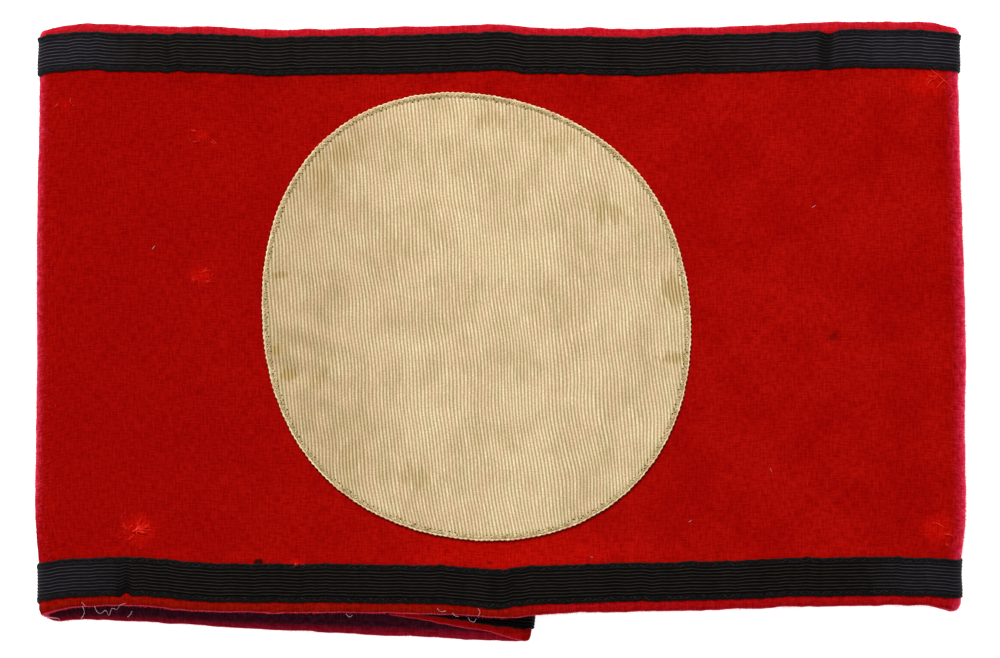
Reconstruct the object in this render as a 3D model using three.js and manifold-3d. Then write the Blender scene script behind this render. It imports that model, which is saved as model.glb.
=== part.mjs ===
// A cloth armband, pressed flat and lying down: a closed band of red felted wool, a black ribbed ribbon
// sewn along each edge of its outer face, and a plain round patch sewn on the front.
// Millimetres. +X runs along the band, +Y across it towards the upper edge, +Z up from the surface.
import * as THREE from "three";
import * as BufferGeometryUtils from "three/addons/utils/BufferGeometryUtils.js";
import Module from "manifold-3d";

const wasm = await Module();
wasm.setup();

// Cloth thicknesses, and the air left between two pieces that are sewn together
const WOOL = 1.2;
const RIBBON = 1.0;
const PATCH = 1.0;
const LAID = 0.15;
const PATCH_LAID = 0.2;

// The band: height of the strip, and how the ribbons lie in from its two raw edges
const STRIP_HEIGHT = 119.3;
const LAPPED_HEIGHT = 117.8;
const RIBBON_WIDTH = 7.7;
const TOP_MARGIN = 1.5;
const BOTTOM_MARGIN = 2.05;
const CALM = 3.0; // beside a ribbon, the width in which its puckers die out
const RIBBON_SET_BACK = 0.5; // a ribbon is cut this much shorter than the wool at both ends

// The side folds: half the flat length, the depth of the rounded fold, and the pull of the ribbons
const HALF_LENGTH = 94.4;
const FOLD_DEPTH = 4.6;
const PULL_STARTS = 70;
const PULL_LEFT = { bottom: 0.6, top: 1.2 };
const PULL_RIGHT = { bottom: 1.2, top: 1.8 };

// The join on the back: the left end is turned back on itself, the right end is lapped over it
const TURN_X = 4.4; // middle of the turned edge, at the bottom edge of the strip
const TURN_GAP = 0.3;
const TURN_BACK = 28;
const TURNED_SLOPE = Math.tan(THREE.MathUtils.degToRad(9.4));
const LEAN = Math.tan(THREE.MathUtils.degToRad(6));
const LEAN_FROM_Y = -66.7;
const LAP_GAP = 0.2;
const LAP_END = -12;
const LAP_FLAT_FROM = 9.5;
const LAP_RISE_FROM = 26;
const SEAM = { from: -4.5, to: -1.5, bottom: -48, top: 42, bite: 0.15 };

// Heights of the middle of the wool, from the surface up
const TAIL_Z = RIBBON + LAID + WOOL / 2;
const TURNED_Z = TAIL_Z + WOOL + TURN_GAP;
const LAP_Z = TURNED_Z + WOOL + 2 * (LAID + RIBBON) + LAP_GAP;
const FRONT_END_Z = 7.4;

// The front's rise over the join, and the puckers that the ribbon stitching pulls into its edges
const FRONT_RISE = [
  { x: -89.2, z: FRONT_END_Z },
  { x: -62, z: 7.9 },
  { x: -32, z: 8.1 },
  { x: -16, z: 8.5 },
  { x: 26, z: 8.5 },
  { x: 44, z: 8.1 },
  { x: 66, z: 7.9 },
  { x: 89.2, z: FRONT_END_Z },
];
const PUCKERS = [
  { height: 0.16, length: 17, start: 1.0 },
  { height: 0.09, length: 10.5, start: 2.6 },
];
const PUCKER_FADE = 14;

// The front's two raw edges, wavy from handling
const FRONT_EDGES = [
  { x: -93.4, top: 58.6, bottom: -60.7 },
  { x: -86.2, top: 60.1, bottom: -59.7 },
  { x: -76.0, top: 59.7, bottom: -59.2 },
  { x: -61.6, top: 59.5, bottom: -60.3 },
  { x: -45.2, top: 58.8, bottom: -60.7 },
  { x: -28.8, top: 59.0, bottom: -60.7 },
  { x: -12.4, top: 59.5, bottom: -60.9 },
  { x: 0.0, top: 59.9, bottom: -61.7 },
  { x: 6.0, top: 58.8, bottom: -61.1 },
  { x: 20.4, top: 59.0, bottom: -60.5 },
  { x: 28.6, top: 58.6, bottom: -60.1 },
  { x: 45.0, top: 59.2, bottom: -59.9 },
  { x: 61.4, top: 59.9, bottom: -59.3 },
  { x: 77.8, top: 60.5, bottom: -59.0 },
  { x: 86.0, top: 60.3, bottom: -59.0 },
  { x: 93.2, top: 59.0, bottom: -59.9 },
];

// The left half of the back runs off square, lower towards the join
const LEFT_TAIL_EDGE = [
  { x: -93.4, bottom: -62.3 },
  { x: -82.0, bottom: -61.9 },
  { x: -53.4, bottom: -64.0 },
  { x: -20.6, bottom: -65.7 },
  { x: TURN_X, bottom: LEAN_FROM_Y },
];
const RIGHT_TAIL_BOTTOM = -59.2;

// The patch: a circle drawn a little oval and a little square by its stitching
const PATCH_CENTRE = { x: -4.8, y: 0 };
const PATCH_RADIUS = 45.5;
const PATCH_OVAL = { by: 1.64, turned: THREE.MathUtils.degToRad(55) };
const PATCH_SQUARE = 0.72;
const PATCH_SIDES = 72;

const SAMPLES = { turned: 6, turn: 6, leftTail: 12, fold: 9, front: 64, rightTail: 8, rise: 8, lap: 4 };

// A smooth value between a table's rows, level at both ends
function between(rows, x, column) {
  const last = rows.length - 1;
  if (x <= rows[0].x) return rows[0][column];
  if (x >= rows[last].x) return rows[last][column];
  let i = 0;
  while (rows[i + 1].x < x) i += 1;
  const slope = (j) => {
    if (j === 0 || j === last) return 0;
    return (rows[j + 1][column] - rows[j - 1][column]) / (rows[j + 1].x - rows[j - 1].x);
  };
  const width = rows[i + 1].x - rows[i].x;
  const t = (x - rows[i].x) / width;
  const ease = t * t * (3 - 2 * t);
  const leave = t * (1 - t) * (1 - t) * width * slope(i);
  const arrive = t * t * (1 - t) * width * slope(i + 1);
  return rows[i][column] * (1 - ease) + rows[i + 1][column] * ease + leave - arrive;
}

function smooth(t) {
  const held = THREE.MathUtils.clamp(t, 0, 1);
  return held * held * (3 - 2 * held);
}

const lerp = THREE.MathUtils.lerp;
const foldCentre = HALF_LENGTH - WOOL / 2 - FOLD_DEPTH;
const foldHalf = (FRONT_END_Z - TAIL_Z) / 2;
const turnRadius = (TURNED_Z - TAIL_Z) / 2;

function frontEdges(x) {
  return { bottom: between(FRONT_EDGES, x, "bottom"), top: between(FRONT_EDGES, x, "top") };
}

function leftTailEdges(x) {
  const bottom = between(LEFT_TAIL_EDGE, x, "bottom");
  return { bottom, top: bottom + STRIP_HEIGHT };
}

function rightTailEdges() {
  return { bottom: RIGHT_TAIL_BOTTOM, top: RIGHT_TAIL_BOTTOM + LAPPED_HEIGHT };
}

function mix(a, b, t) {
  return { bottom: lerp(a.bottom, b.bottom, t), top: lerp(a.top, b.top, t) };
}

// Each stretch of the strip, in the order in which it is followed: from t in 0 to 1 it gives the middle
// of the wool (x, z), the strip's two edges (bottom, top) and how much of the join's lean it takes
const STRETCHES = [
  {
    count: SAMPLES.turned,
    at: (t) => {
      const x = lerp(TURN_X - TURN_BACK, TURN_X, t);
      const shift = TURNED_SLOPE * (TURN_X - x);
      const edges = leftTailEdges(TURN_X);
      return { x, z: TURNED_Z, bottom: edges.bottom + shift, top: edges.top + shift, lean: 1 };
    },
  },
  {
    count: SAMPLES.turn,
    at: (t) => ({
      x: TURN_X + turnRadius * Math.sin(Math.PI * t),
      z: TAIL_Z + turnRadius + turnRadius * Math.cos(Math.PI * t),
      ...leftTailEdges(TURN_X),
      lean: 1,
    }),
  },
  {
    count: SAMPLES.leftTail,
    at: (t) => {
      const x = lerp(TURN_X, -foldCentre, t);
      return { x, z: TAIL_Z, ...leftTailEdges(x), lean: 1 - t };
    },
  },
  {
    count: SAMPLES.fold,
    at: (t) => ({
      x: -foldCentre - FOLD_DEPTH * Math.sin(Math.PI * t),
      z: TAIL_Z + foldHalf - foldHalf * Math.cos(Math.PI * t),
      ...mix(leftTailEdges(-foldCentre), frontEdges(-foldCentre), smooth(t)),
      lean: 0,
    }),
  },
  {
    count: SAMPLES.front,
    at: (t) => {
      const x = lerp(-foldCentre, foldCentre, t);
      return { x, z: between(FRONT_RISE, x, "z"), ...frontEdges(x), lean: 0, puckered: true };
    },
  },
  {
    count: SAMPLES.fold,
    at: (t) => ({
      x: foldCentre + FOLD_DEPTH * Math.sin(Math.PI * t),
      z: TAIL_Z + foldHalf + foldHalf * Math.cos(Math.PI * t),
      ...mix(frontEdges(foldCentre), rightTailEdges(), smooth(t)),
      lean: 0,
    }),
  },
  {
    count: SAMPLES.rightTail,
    at: (t) => ({ x: lerp(foldCentre, LAP_RISE_FROM, t), z: TAIL_Z, ...rightTailEdges(), lean: t }),
  },
  {
    count: SAMPLES.rise,
    at: (t) => ({
      x: lerp(LAP_RISE_FROM, LAP_FLAT_FROM, t),
      z: lerp(TAIL_Z, LAP_Z, smooth(t)),
      ...rightTailEdges(),
      lean: 1,
    }),
  },
  {
    count: SAMPLES.lap,
    at: (t) => ({ x: lerp(LAP_FLAT_FROM, LAP_END, t), z: LAP_Z, ...rightTailEdges(), lean: 1 }),
  },
];

// The way round the loop, with the direction that points out of the cloth's outer face at each step
function followStrip() {
  const steps = [];
  const nudge = 1e-4;
  STRETCHES.forEach((stretch, order) => {
    const last = order === STRETCHES.length - 1;
    for (let i = 0; i < stretch.count + (last ? 1 : 0); i += 1) {
      const t = i / stretch.count;
      const back = stretch.at(Math.max(t - nudge, 0));
      const ahead = stretch.at(Math.min(t + nudge, 1));
      const length = Math.hypot(ahead.x - back.x, ahead.z - back.z);
      const out = { x: -(ahead.z - back.z) / length, z: (ahead.x - back.x) / length };
      steps.push({ ...stretch.at(t), out });
    }
  });
  return steps;
}

// Lines along the strip, from the bottom edge to the top edge. A line lies at a distance from one edge,
// or, with share, part of the way between the edges; loose is how far the puckers and the pull reach it
const LINES = {
  bottomEdge: { fromBottom: 0, loose: 1 },
  bottomRibbonOuter: { fromBottom: BOTTOM_MARGIN, loose: 1 },
  bottomRibbonInner: { fromBottom: BOTTOM_MARGIN + RIBBON_WIDTH, loose: 1 },
  bottomCalm: { fromBottom: BOTTOM_MARGIN + RIBBON_WIDTH + CALM, loose: 0 },
  middle: { share: 0.5, loose: 0 },
  topCalm: { fromTop: TOP_MARGIN + RIBBON_WIDTH + CALM, loose: 0 },
  topRibbonInner: { fromTop: TOP_MARGIN + RIBBON_WIDTH, loose: 1 },
  topRibbonOuter: { fromTop: TOP_MARGIN, loose: 1 },
  topEdge: { fromTop: 0, loose: 1 },
};

function heightOf(line, step) {
  if (line.share !== undefined) return lerp(step.bottom, step.top, line.share);
  return line.fromTop === undefined ? step.bottom + line.fromBottom : step.top - line.fromTop;
}

function puckers(x) {
  const fade = smooth((foldCentre - Math.abs(x)) / PUCKER_FADE);
  const wave = ({ height, length, start }) => height * (1 + Math.sin((2 * Math.PI * x) / length + start));
  return fade * PUCKERS.reduce((sum, row) => sum + wave(row), 0);
}

// How far the stitched ribbons draw a side fold in towards the middle
function pull(x, upper) {
  const side = x < 0 ? PULL_LEFT : PULL_RIGHT;
  const amount = upper ? side.top : side.bottom;
  return -Math.sign(x) * amount * smooth((Math.abs(x) - PULL_STARTS) / (HALF_LENGTH - PULL_STARTS));
}

// The point of the cloth at one step of the way round, on one line, off the middle of the wool by offset
function clothPoint(step, line, offset) {
  const y = heightOf(line, step);
  const lift = step.puckered ? line.loose * puckers(step.x) : 0;
  const x = step.x + line.loose * pull(step.x, y > 0) + step.lean * LEAN * (y - LEAN_FROM_Y);
  return [x + step.out.x * offset, y, step.z + lift + step.out.z * offset];
}

// A closed solid between two offsets of a run of steps and lines
function clothSolid(steps, lines, inner, outer) {
  const rows = steps.length;
  const columns = lines.length;
  const positions = [];
  for (const offset of [inner, outer]) {
    for (const step of steps) {
      for (const line of lines) positions.push(...clothPoint(step, line, offset));
    }
  }
  const low = (i, j) => i * columns + j;
  const high = (i, j) => rows * columns + low(i, j);
  const index = [];
  const quad = (a, b, c, d) => index.push(a, b, c, a, c, d);
  for (let i = 0; i < rows - 1; i += 1) {
    for (let j = 0; j < columns - 1; j += 1) {
      quad(high(i, j), high(i + 1, j), high(i + 1, j + 1), high(i, j + 1));
      index.push(low(i, j), low(i + 1, j + 1), low(i + 1, j));
      index.push(low(i, j), low(i, j + 1), low(i + 1, j + 1));
    }
    quad(low(i, 0), low(i + 1, 0), high(i + 1, 0), high(i, 0));
    quad(low(i + 1, columns - 1), low(i, columns - 1), high(i, columns - 1), high(i + 1, columns - 1));
  }
  for (let j = 0; j < columns - 1; j += 1) {
    quad(high(0, j), high(0, j + 1), low(0, j + 1), low(0, j));
    quad(high(rows - 1, j + 1), high(rows - 1, j), low(rows - 1, j), low(rows - 1, j + 1));
  }
  const geometry = new THREE.BufferGeometry();
  geometry.setAttribute("position", new THREE.Float32BufferAttribute(positions, 3));
  geometry.setIndex(index);
  return geometry;
}

function toSolid(geometry) {
  const bare = geometry.clone();
  bare.deleteAttribute("normal");
  bare.deleteAttribute("uv");
  const merged = BufferGeometryUtils.mergeVertices(bare);
  return new wasm.Manifold(
    new wasm.Mesh({
      numProp: 3,
      vertProperties: new Float32Array(merged.attributes.position.array),
      triVerts: new Uint32Array(merged.index.array),
    })
  );
}

function toGeometry(solid) {
  const mesh = solid.getMesh();
  const geometry = new THREE.BufferGeometry();
  geometry.setAttribute("position", new THREE.BufferAttribute(mesh.vertProperties, 3));
  geometry.setIndex(new THREE.BufferAttribute(mesh.triVerts, 1));
  return geometry;
}

// The line of sewing that joins the lapped end to the turned-back end, leaning as they do
function seamGeometry() {
  const low = TURNED_Z + WOOL / 2 - SEAM.bite;
  const high = LAP_Z - WOOL / 2 + SEAM.bite;
  const bar = new THREE.BoxGeometry(SEAM.to - SEAM.from, SEAM.top - SEAM.bottom, high - low);
  bar.translate((SEAM.from + SEAM.to) / 2, (SEAM.bottom + SEAM.top) / 2, (low + high) / 2);
  const lean = new THREE.Matrix4().set(1, LEAN, 0, -LEAN * LEAN_FROM_Y, 0, 1, 0, 0, 0, 0, 1, 0, 0, 0, 0, 1);
  return bar.applyMatrix4(lean);
}

function bandGeometry(steps) {
  const strip = clothSolid(steps, Object.values(LINES), -WOOL / 2, WOOL / 2);
  return toGeometry(toSolid(strip).add(toSolid(seamGeometry())));
}

// The way round for a ribbon, which stops a little short of the wool's two cut ends
function ribbonSteps(steps) {
  const first = { ...steps[0], x: steps[0].x + RIBBON_SET_BACK };
  const last = { ...steps.at(-1), x: steps.at(-1).x + RIBBON_SET_BACK };
  return [first, ...steps.slice(1, -1), last];
}

function ribbonGeometry(steps, outerLine, innerLine) {
  const low = WOOL / 2 + LAID;
  return clothSolid(ribbonSteps(steps), [outerLine, innerLine], low, low + RIBBON);
}

function patchOutline() {
  const points = [];
  for (let i = 0; i < PATCH_SIDES; i += 1) {
    const angle = (2 * Math.PI * i) / PATCH_SIDES;
    const oval = PATCH_OVAL.by * Math.cos(2 * (angle + PATCH_OVAL.turned));
    const radius = PATCH_RADIUS + oval - PATCH_SQUARE * Math.cos(4 * angle);
    points.push(
      new THREE.Vector2(PATCH_CENTRE.x + radius * Math.cos(angle), PATCH_CENTRE.y + radius * Math.sin(angle))
    );
  }
  return new THREE.Shape(points);
}

// The patch is cut from cloth that follows the front just above the wool
function patchGeometry(steps) {
  const front = steps.filter((step) => step.puckered);
  const low = WOOL / 2 + PATCH_LAID;
  const cloth = clothSolid(front, [LINES.bottomCalm, LINES.middle, LINES.topCalm], low, low + PATCH);
  const cutter = new THREE.ExtrudeGeometry(patchOutline(), { depth: 20, bevelEnabled: false });
  return toGeometry(toSolid(cloth).intersect(toSolid(cutter)));
}

function piece(name, geometry, color, roughness) {
  const material = new THREE.MeshStandardMaterial({ color, roughness, metalness: 0 });
  const mesh = new THREE.Mesh(geometry, material);
  mesh.name = name;
  return mesh;
}

const steps = followStrip();
const armband = new THREE.Group();
armband.add(
  piece("band", bandGeometry(steps), 0x9c0a04, 0.95),
  piece("ribbon_top", ribbonGeometry(steps, LINES.topRibbonInner, LINES.topRibbonOuter), 0x1d1a1d, 0.6),
  piece("ribbon_bottom", ribbonGeometry(steps, LINES.bottomRibbonOuter, LINES.bottomRibbonInner), 0x1b1816, 0.6),
  piece("disc", patchGeometry(steps), 0xcdb48a, 0.85)
);

// The origin is the middle of the footprint, on the surface that the band lies on
const reach = new THREE.Box3().setFromObject(armband);
const centre = reach.getCenter(new THREE.Vector3());
armband.position.set(-centre.x, -centre.y, -reach.min.z);

export default armband;
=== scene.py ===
# %% [markdown]
# # A cloth armband, pressed flat
# The armband is a strip of red felted wool joined into a loop. A black ribbed ribbon is sewn along each
# edge, and a plain round patch of ribbed off-white cloth is sewn on the front. It lies on a white
# surface and is seen from straight above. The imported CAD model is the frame: it says where each piece
# is, and this script gives each piece its cloth.

import bisect
import math
import random
from collections import namedtuple

import bmesh
import bpy
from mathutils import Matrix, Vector, noise


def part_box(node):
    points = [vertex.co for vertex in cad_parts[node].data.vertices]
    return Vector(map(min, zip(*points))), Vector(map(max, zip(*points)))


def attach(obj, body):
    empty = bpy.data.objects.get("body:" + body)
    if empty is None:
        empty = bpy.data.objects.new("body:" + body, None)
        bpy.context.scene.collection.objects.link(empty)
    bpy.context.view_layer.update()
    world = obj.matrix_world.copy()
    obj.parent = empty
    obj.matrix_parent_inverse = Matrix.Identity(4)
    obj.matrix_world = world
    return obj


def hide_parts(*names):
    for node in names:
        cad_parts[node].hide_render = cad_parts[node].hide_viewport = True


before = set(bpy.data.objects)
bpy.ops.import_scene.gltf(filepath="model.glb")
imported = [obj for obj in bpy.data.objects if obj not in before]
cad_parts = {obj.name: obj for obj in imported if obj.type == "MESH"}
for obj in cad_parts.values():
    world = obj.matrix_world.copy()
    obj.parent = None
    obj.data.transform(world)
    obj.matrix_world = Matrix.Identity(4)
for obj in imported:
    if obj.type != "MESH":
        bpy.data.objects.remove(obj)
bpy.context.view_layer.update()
print("CAD nodes:", sorted(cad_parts))

# %% Tables with named columns
def table(columns, *rows):
    """Rows of values as a list of dicts, with the columns' names as keys."""
    names = columns.split()
    return [dict(zip(names, row)) for row in rows]


# %% [markdown]
# ## The strip as one long route
# A folded cloth could be made by simulation, but the folds here are simple and their places are known,
# so the strip is described as a route instead: nine stretches that follow the middle of the wool from
# the turned-back end, round the left fold, across the front, round the right fold and on to the lapped
# end. Every piece that lies on the wool asks the same route where the wool is, so ribbon and wool keep
# together round every fold. Lengths are in millimetres until a point is placed, and then in metres.

# %% Sizes of the strip
MM = 0.001
WOOL = 1.2
RIBBON = 1.0
LAID = 0.15
STRIP_HEIGHT = 119.3
LAPPED_HEIGHT = 117.8
RIBBON_WIDTH = 8.05
TOP_MARGIN = 1.4
BOTTOM_MARGIN = 1.9
CALM = 3.0
HALF_LENGTH = 94.4
FOLD_DEPTH = 4.6
TURN_X = 4.4
TURN_GAP = 0.3
TURN_BACK = 28
TURNED_SLOPE = math.tan(math.radians(9.2))
LEAN = math.tan(math.radians(6))
LEAN_FROM_Y = -66.7
LAP_GAP = 0.2
LAP_END = -12
LAP_FLAT_FROM = 9.5
LAP_RISE_FROM = 26
TAIL_Z = RIBBON + LAID + WOOL / 2
TURNED_Z = TAIL_Z + WOOL + TURN_GAP
LAP_Z = TURNED_Z + WOOL + 2 * (LAID + RIBBON) + LAP_GAP
FRONT_END_Z = 7.4
FOLD_CENTRE = HALF_LENGTH - WOOL / 2 - FOLD_DEPTH
FOLD_HALF = (FRONT_END_Z - TAIL_Z) / 2
TURN_RADIUS = (TURNED_Z - TAIL_Z) / 2

FRONT_RISE = table(
    "x z",
    (-89.2, FRONT_END_Z), (-62, 7.9), (-32, 8.1), (-16, 8.5), (26, 8.5), (44, 8.1), (66, 7.9),
    (89.2, FRONT_END_Z),
)
PUCKERS = table(
    "height length start",
    (0.16, 17, 1.0), (0.09, 10.5, 2.6),
)
PUCKER_FADE = 14
FRONT_EDGES = table(
    "x top bottom",
    (-93.8, 59.1, -60.5), (-92.3, 59.5, -60.2), (-90.0, 59.8, -59.8), (-86.2, 60.1, -59.5),
    (-76.0, 59.7, -59.2), (-61.6, 59.5, -60.2), (-45.2, 58.9, -60.6), (-28.8, 59.2, -60.6),
    (-12.4, 59.6, -60.8), (0.0, 59.9, -61.6), (6.0, 59.3, -61.1), (20.4, 59.1, -60.4),
    (28.6, 58.9, -60.3), (45.0, 59.4, -59.9), (61.4, 60.1, -59.3), (77.8, 60.6, -59.1),
    (86.0, 60.5, -59.2), (91.5, 60.0, -59.4), (93.8, 59.7, -59.7),
)
SIDES = table(
    "x left right",
    (-62.3, -0.9, -1.8), (-61.4, 0.0, -1.2), (-60.2, 0.3, -0.4), (-58.8, 0.2, 0.0),
    (-57.0, 0.1, -0.1), (-52.0, 0.15, -0.3), (-45.0, 0.75, 0.7), (-38.0, 1.05, 1.1),
    (-24.0, 0.85, 0.8), (-7.0, 0.65, 1.0), (10.0, 0.7, 0.6), (28.0, 0.5, 0.0), (40.0, 0.2, -0.4),
    (52.0, 0.05, -0.6), (56.3, -0.15, -0.7), (57.6, 0.15, -0.4), (58.8, -0.1, -0.4),
    (60.2, -1.2, -1.0),
)
SIDES_REACH = 40
LEFT_TAIL_EDGE = table(
    "x bottom",
    (-93.4, -62.3), (-82.0, -62.4), (-67.0, -63.2), (-53.4, -64.1), (-20.6, -65.7),
    (TURN_X, LEAN_FROM_Y),
)
RIGHT_TAIL_BOTTOM = -59.2


# %% Smooth values between a table's rows
def lerp(a, b, t):
    return a + (b - a) * t


def smooth(t):
    held = min(max(t, 0.0), 1.0)
    return held * held * (3 - 2 * held)


def turning_place(low, high, before):
    """Where between low and high before() turns from true to false, found by halving."""
    for _ in range(30):
        middle = (low + high) / 2
        if before(middle):
            low = middle
        else:
            high = middle
    return low


def rough(*place):
    """Smooth noise from about -1 to 1, always the same at the same place."""
    return noise.noise(Vector(place))


def between(rows, x, column):
    """A smooth value between the rows of a table, level at both ends."""
    last = len(rows) - 1
    if x <= rows[0]["x"]:
        return rows[0][column]
    if x >= rows[last]["x"]:
        return rows[last][column]
    i = bisect.bisect_right([row["x"] for row in rows], x) - 1

    def slope(j):
        if j in (0, last):
            return 0.0
        return (rows[j + 1][column] - rows[j - 1][column]) / (rows[j + 1]["x"] - rows[j - 1]["x"])

    width = rows[i + 1]["x"] - rows[i]["x"]
    t = (x - rows[i]["x"]) / width
    leave = t * (1 - t) ** 2 * width * slope(i)
    arrive = t * t * (1 - t) * width * slope(i + 1)
    return lerp(rows[i][column], rows[i + 1][column], smooth(t)) + leave - arrive


# %% [markdown]
# Each stretch is a small function of t from 0 to 1. It gives the middle of the wool, the strip's bottom
# and top edges there, how much of the lap's lean it takes, and whether it is part of the front.

# %% The nine stretches
def front_edges(x):
    return between(FRONT_EDGES, x, "bottom"), between(FRONT_EDGES, x, "top")


def left_edges(x):
    bottom = between(LEFT_TAIL_EDGE, x, "bottom")
    return bottom, bottom + STRIP_HEIGHT


RIGHT_EDGES = (RIGHT_TAIL_BOTTOM, RIGHT_TAIL_BOTTOM + LAPPED_HEIGHT)


EDGE_TURNS = {"late": (0.42, 0.58), "left_bottom": (0.14, 0.56)}


def eased(t, which):
    """How far an edge has gone from one line to the other at t: it waits, then turns smoothly."""
    start, length = EDGE_TURNS[which]
    return smooth((t - start) / length)


def turned_end(t):
    x = lerp(TURN_X - TURN_BACK, TURN_X, t)
    bottom, top = left_edges(TURN_X)
    shift = TURNED_SLOPE * (TURN_X - x)
    return x, TURNED_Z, (bottom + shift, top + shift), 1.0


def turned_edge(t):
    x = TURN_X + TURN_RADIUS * math.sin(math.pi * t)
    z = TAIL_Z + TURN_RADIUS + TURN_RADIUS * math.cos(math.pi * t)
    return x, z, left_edges(TURN_X), 1.0


def left_back(t):
    x = lerp(TURN_X, -FOLD_CENTRE, t)
    return x, TAIL_Z, left_edges(x), 1 - t


def left_fold(t):
    x = -FOLD_CENTRE - FOLD_DEPTH * math.sin(math.pi * t)
    z = TAIL_Z + FOLD_HALF - FOLD_HALF * math.cos(math.pi * t)
    back, ahead = left_edges(-FOLD_CENTRE), front_edges(x)
    bottom = lerp(back[0], ahead[0], eased(t, "left_bottom"))
    top = lerp(ahead[1], back[1], eased(1 - t, "late"))
    return x, z, (bottom, top), 0.0


def front(t):
    x = lerp(-FOLD_CENTRE, FOLD_CENTRE, t)
    return x, between(FRONT_RISE, x, "z"), front_edges(x), 0.0


def right_fold(t):
    x = FOLD_CENTRE + FOLD_DEPTH * math.sin(math.pi * t)
    z = TAIL_Z + FOLD_HALF + FOLD_HALF * math.cos(math.pi * t)
    start = front_edges(x)
    edges = [lerp(start[k], RIGHT_EDGES[k], eased(t, "late")) for k in (0, 1)]
    return x, z, edges, 0.0


def right_back(t):
    return lerp(FOLD_CENTRE, LAP_RISE_FROM, t), TAIL_Z, RIGHT_EDGES, t


def lap_rise(t):
    return lerp(LAP_RISE_FROM, LAP_FLAT_FROM, t), lerp(TAIL_Z, LAP_Z, smooth(t)), RIGHT_EDGES, 1.0


def lapped_end(t):
    return lerp(LAP_FLAT_FROM, LAP_END, t), LAP_Z, RIGHT_EDGES, 1.0


# %% Follow the route
# A step is one place on the route: how far along, where the wool's middle is, which way its outer face
# looks, where the strip's edges are, its share of the lap's lean, and whether it is on the front.
Step = namedtuple("Step", "way x z out bottom top lean on_front")

# Each stretch has a number of steps, and the spacing in millimetres of the wool's and ribbons' grids.
ROUTE = table(
    "name at steps wool ribbon",
    ("turned_end", turned_end, 60, 1.1, 0.8),
    ("turned_edge", turned_edge, 24, 0.2, 0.3),
    ("left_back", left_back, 160, 1.3, 1.1),
    ("left_fold", left_fold, 60, 0.42, 0.45),
    ("front", front, 720, 0.78, 0.56),
    ("right_fold", right_fold, 60, 0.42, 0.45),
    ("right_back", right_back, 100, 1.8, 1.6),
    ("lap_rise", lap_rise, 60, 1.2, 1.2),
    ("lapped_end", lapped_end, 40, 1.8, 1.6),
)
NUDGE = 1e-4


def follow_route():
    steps, spans, way = [], {}, 0.0
    for stretch in ROUTE:
        start = way
        for i in range(stretch["steps"] + 1):
            t = i / stretch["steps"]
            x, z, edges, lean = stretch["at"](t)
            back, ahead = stretch["at"](max(t - NUDGE, 0)), stretch["at"](min(t + NUDGE, 1))
            along = Vector((ahead[0] - back[0], ahead[1] - back[1])).normalized()
            if i == 0 and steps:
                continue
            if steps:
                way += math.hypot(x - steps[-1].x, z - steps[-1].z)
            on_front = stretch["name"] == "front"
            steps.append(Step(way, x, z, (-along.y, along.x), *edges, lean, on_front))
        spans[stretch["name"]] = (start, way)
    return steps, spans


STEPS, SPANS = follow_route()
WAYS = [step.way for step in STEPS]
STRIP_LENGTH = WAYS[-1]
print(f"The strip is {STRIP_LENGTH:.1f} mm long and {STRIP_HEIGHT} mm high")


def step_at(way):
    """The route at any length from its start, worked out between its two nearest steps."""
    i = min(max(bisect.bisect_right(WAYS, way) - 1, 0), len(STEPS) - 2)
    a, b = STEPS[i], STEPS[i + 1]
    t = min(max((way - a.way) / (b.way - a.way), 0.0), 1.0)
    x, z, lean = lerp(a.x, b.x, t), lerp(a.z, b.z, t), lerp(a.lean, b.lean, t)
    out = Vector((lerp(a.out[0], b.out[0], t), lerp(a.out[1], b.out[1], t))).normalized()
    edges = (lerp(a.bottom, b.bottom, t), lerp(a.top, b.top, t))
    return Step(way, x, z, out, *edges, lean, b.on_front)


# %% [markdown]
# ## The surface of the wool
# Sewing a ribbon on by hand gathers the wool a little, so its edges pucker and the side folds are drawn
# in. The broad puckers are the CAD's own. On top of them a little noise crinkles the cloth, the same
# for the wool and for what is sewn to it, so nothing sinks in or floats off.

# %% Where the cloth lies
patch_low, patch_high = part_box("disc")
band_low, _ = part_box("band")
PATCH_CENTRE = (-4.8, 0.0)
SHIFT_Y = band_low.y / MM - LEAN_FROM_Y
SHIFT_X = (patch_low.x + patch_high.x) / 2 / MM - PATCH_CENTRE[0]
print(f"The frame's origin is at {-SHIFT_X:.2f}, {-SHIFT_Y:.2f} mm in the photograph's scale")
EDGE_ZONE = 14.0


def in_frame(x, y, z):
    """A place in the photograph's own scale, as a point of the frame in metres."""
    return Vector(((x + SHIFT_X) * MM, (y + SHIFT_Y) * MM, z * MM))


def height_at(step, across):
    """The y of a line that runs at a distance across the strip, counted from its bottom edge."""
    if across < EDGE_ZONE:
        return step.bottom + across
    if across > STRIP_HEIGHT - EDGE_ZONE:
        return step.top - (STRIP_HEIGHT - across)
    share = (across - EDGE_ZONE) / (STRIP_HEIGHT - 2 * EDGE_ZONE)
    return lerp(step.bottom + EDGE_ZONE, step.top - EDGE_ZONE, share)


def across_at(step, y):
    if y - step.bottom < EDGE_ZONE:
        return y - step.bottom
    if step.top - y < EDGE_ZONE:
        return STRIP_HEIGHT - (step.top - y)
    share = (y - step.bottom - EDGE_ZONE) / (step.top - step.bottom - 2 * EDGE_ZONE)
    return lerp(EDGE_ZONE, STRIP_HEIGHT - EDGE_ZONE, share)


def looseness(across):
    """1 on the ribbons and the bare margins, dying out beside the ribbons."""
    from_bottom = (across - BOTTOM_MARGIN - RIBBON_WIDTH) / CALM
    from_top = (STRIP_HEIGHT - TOP_MARGIN - RIBBON_WIDTH - across) / CALM
    return 1 - smooth(min(from_bottom, from_top))


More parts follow.
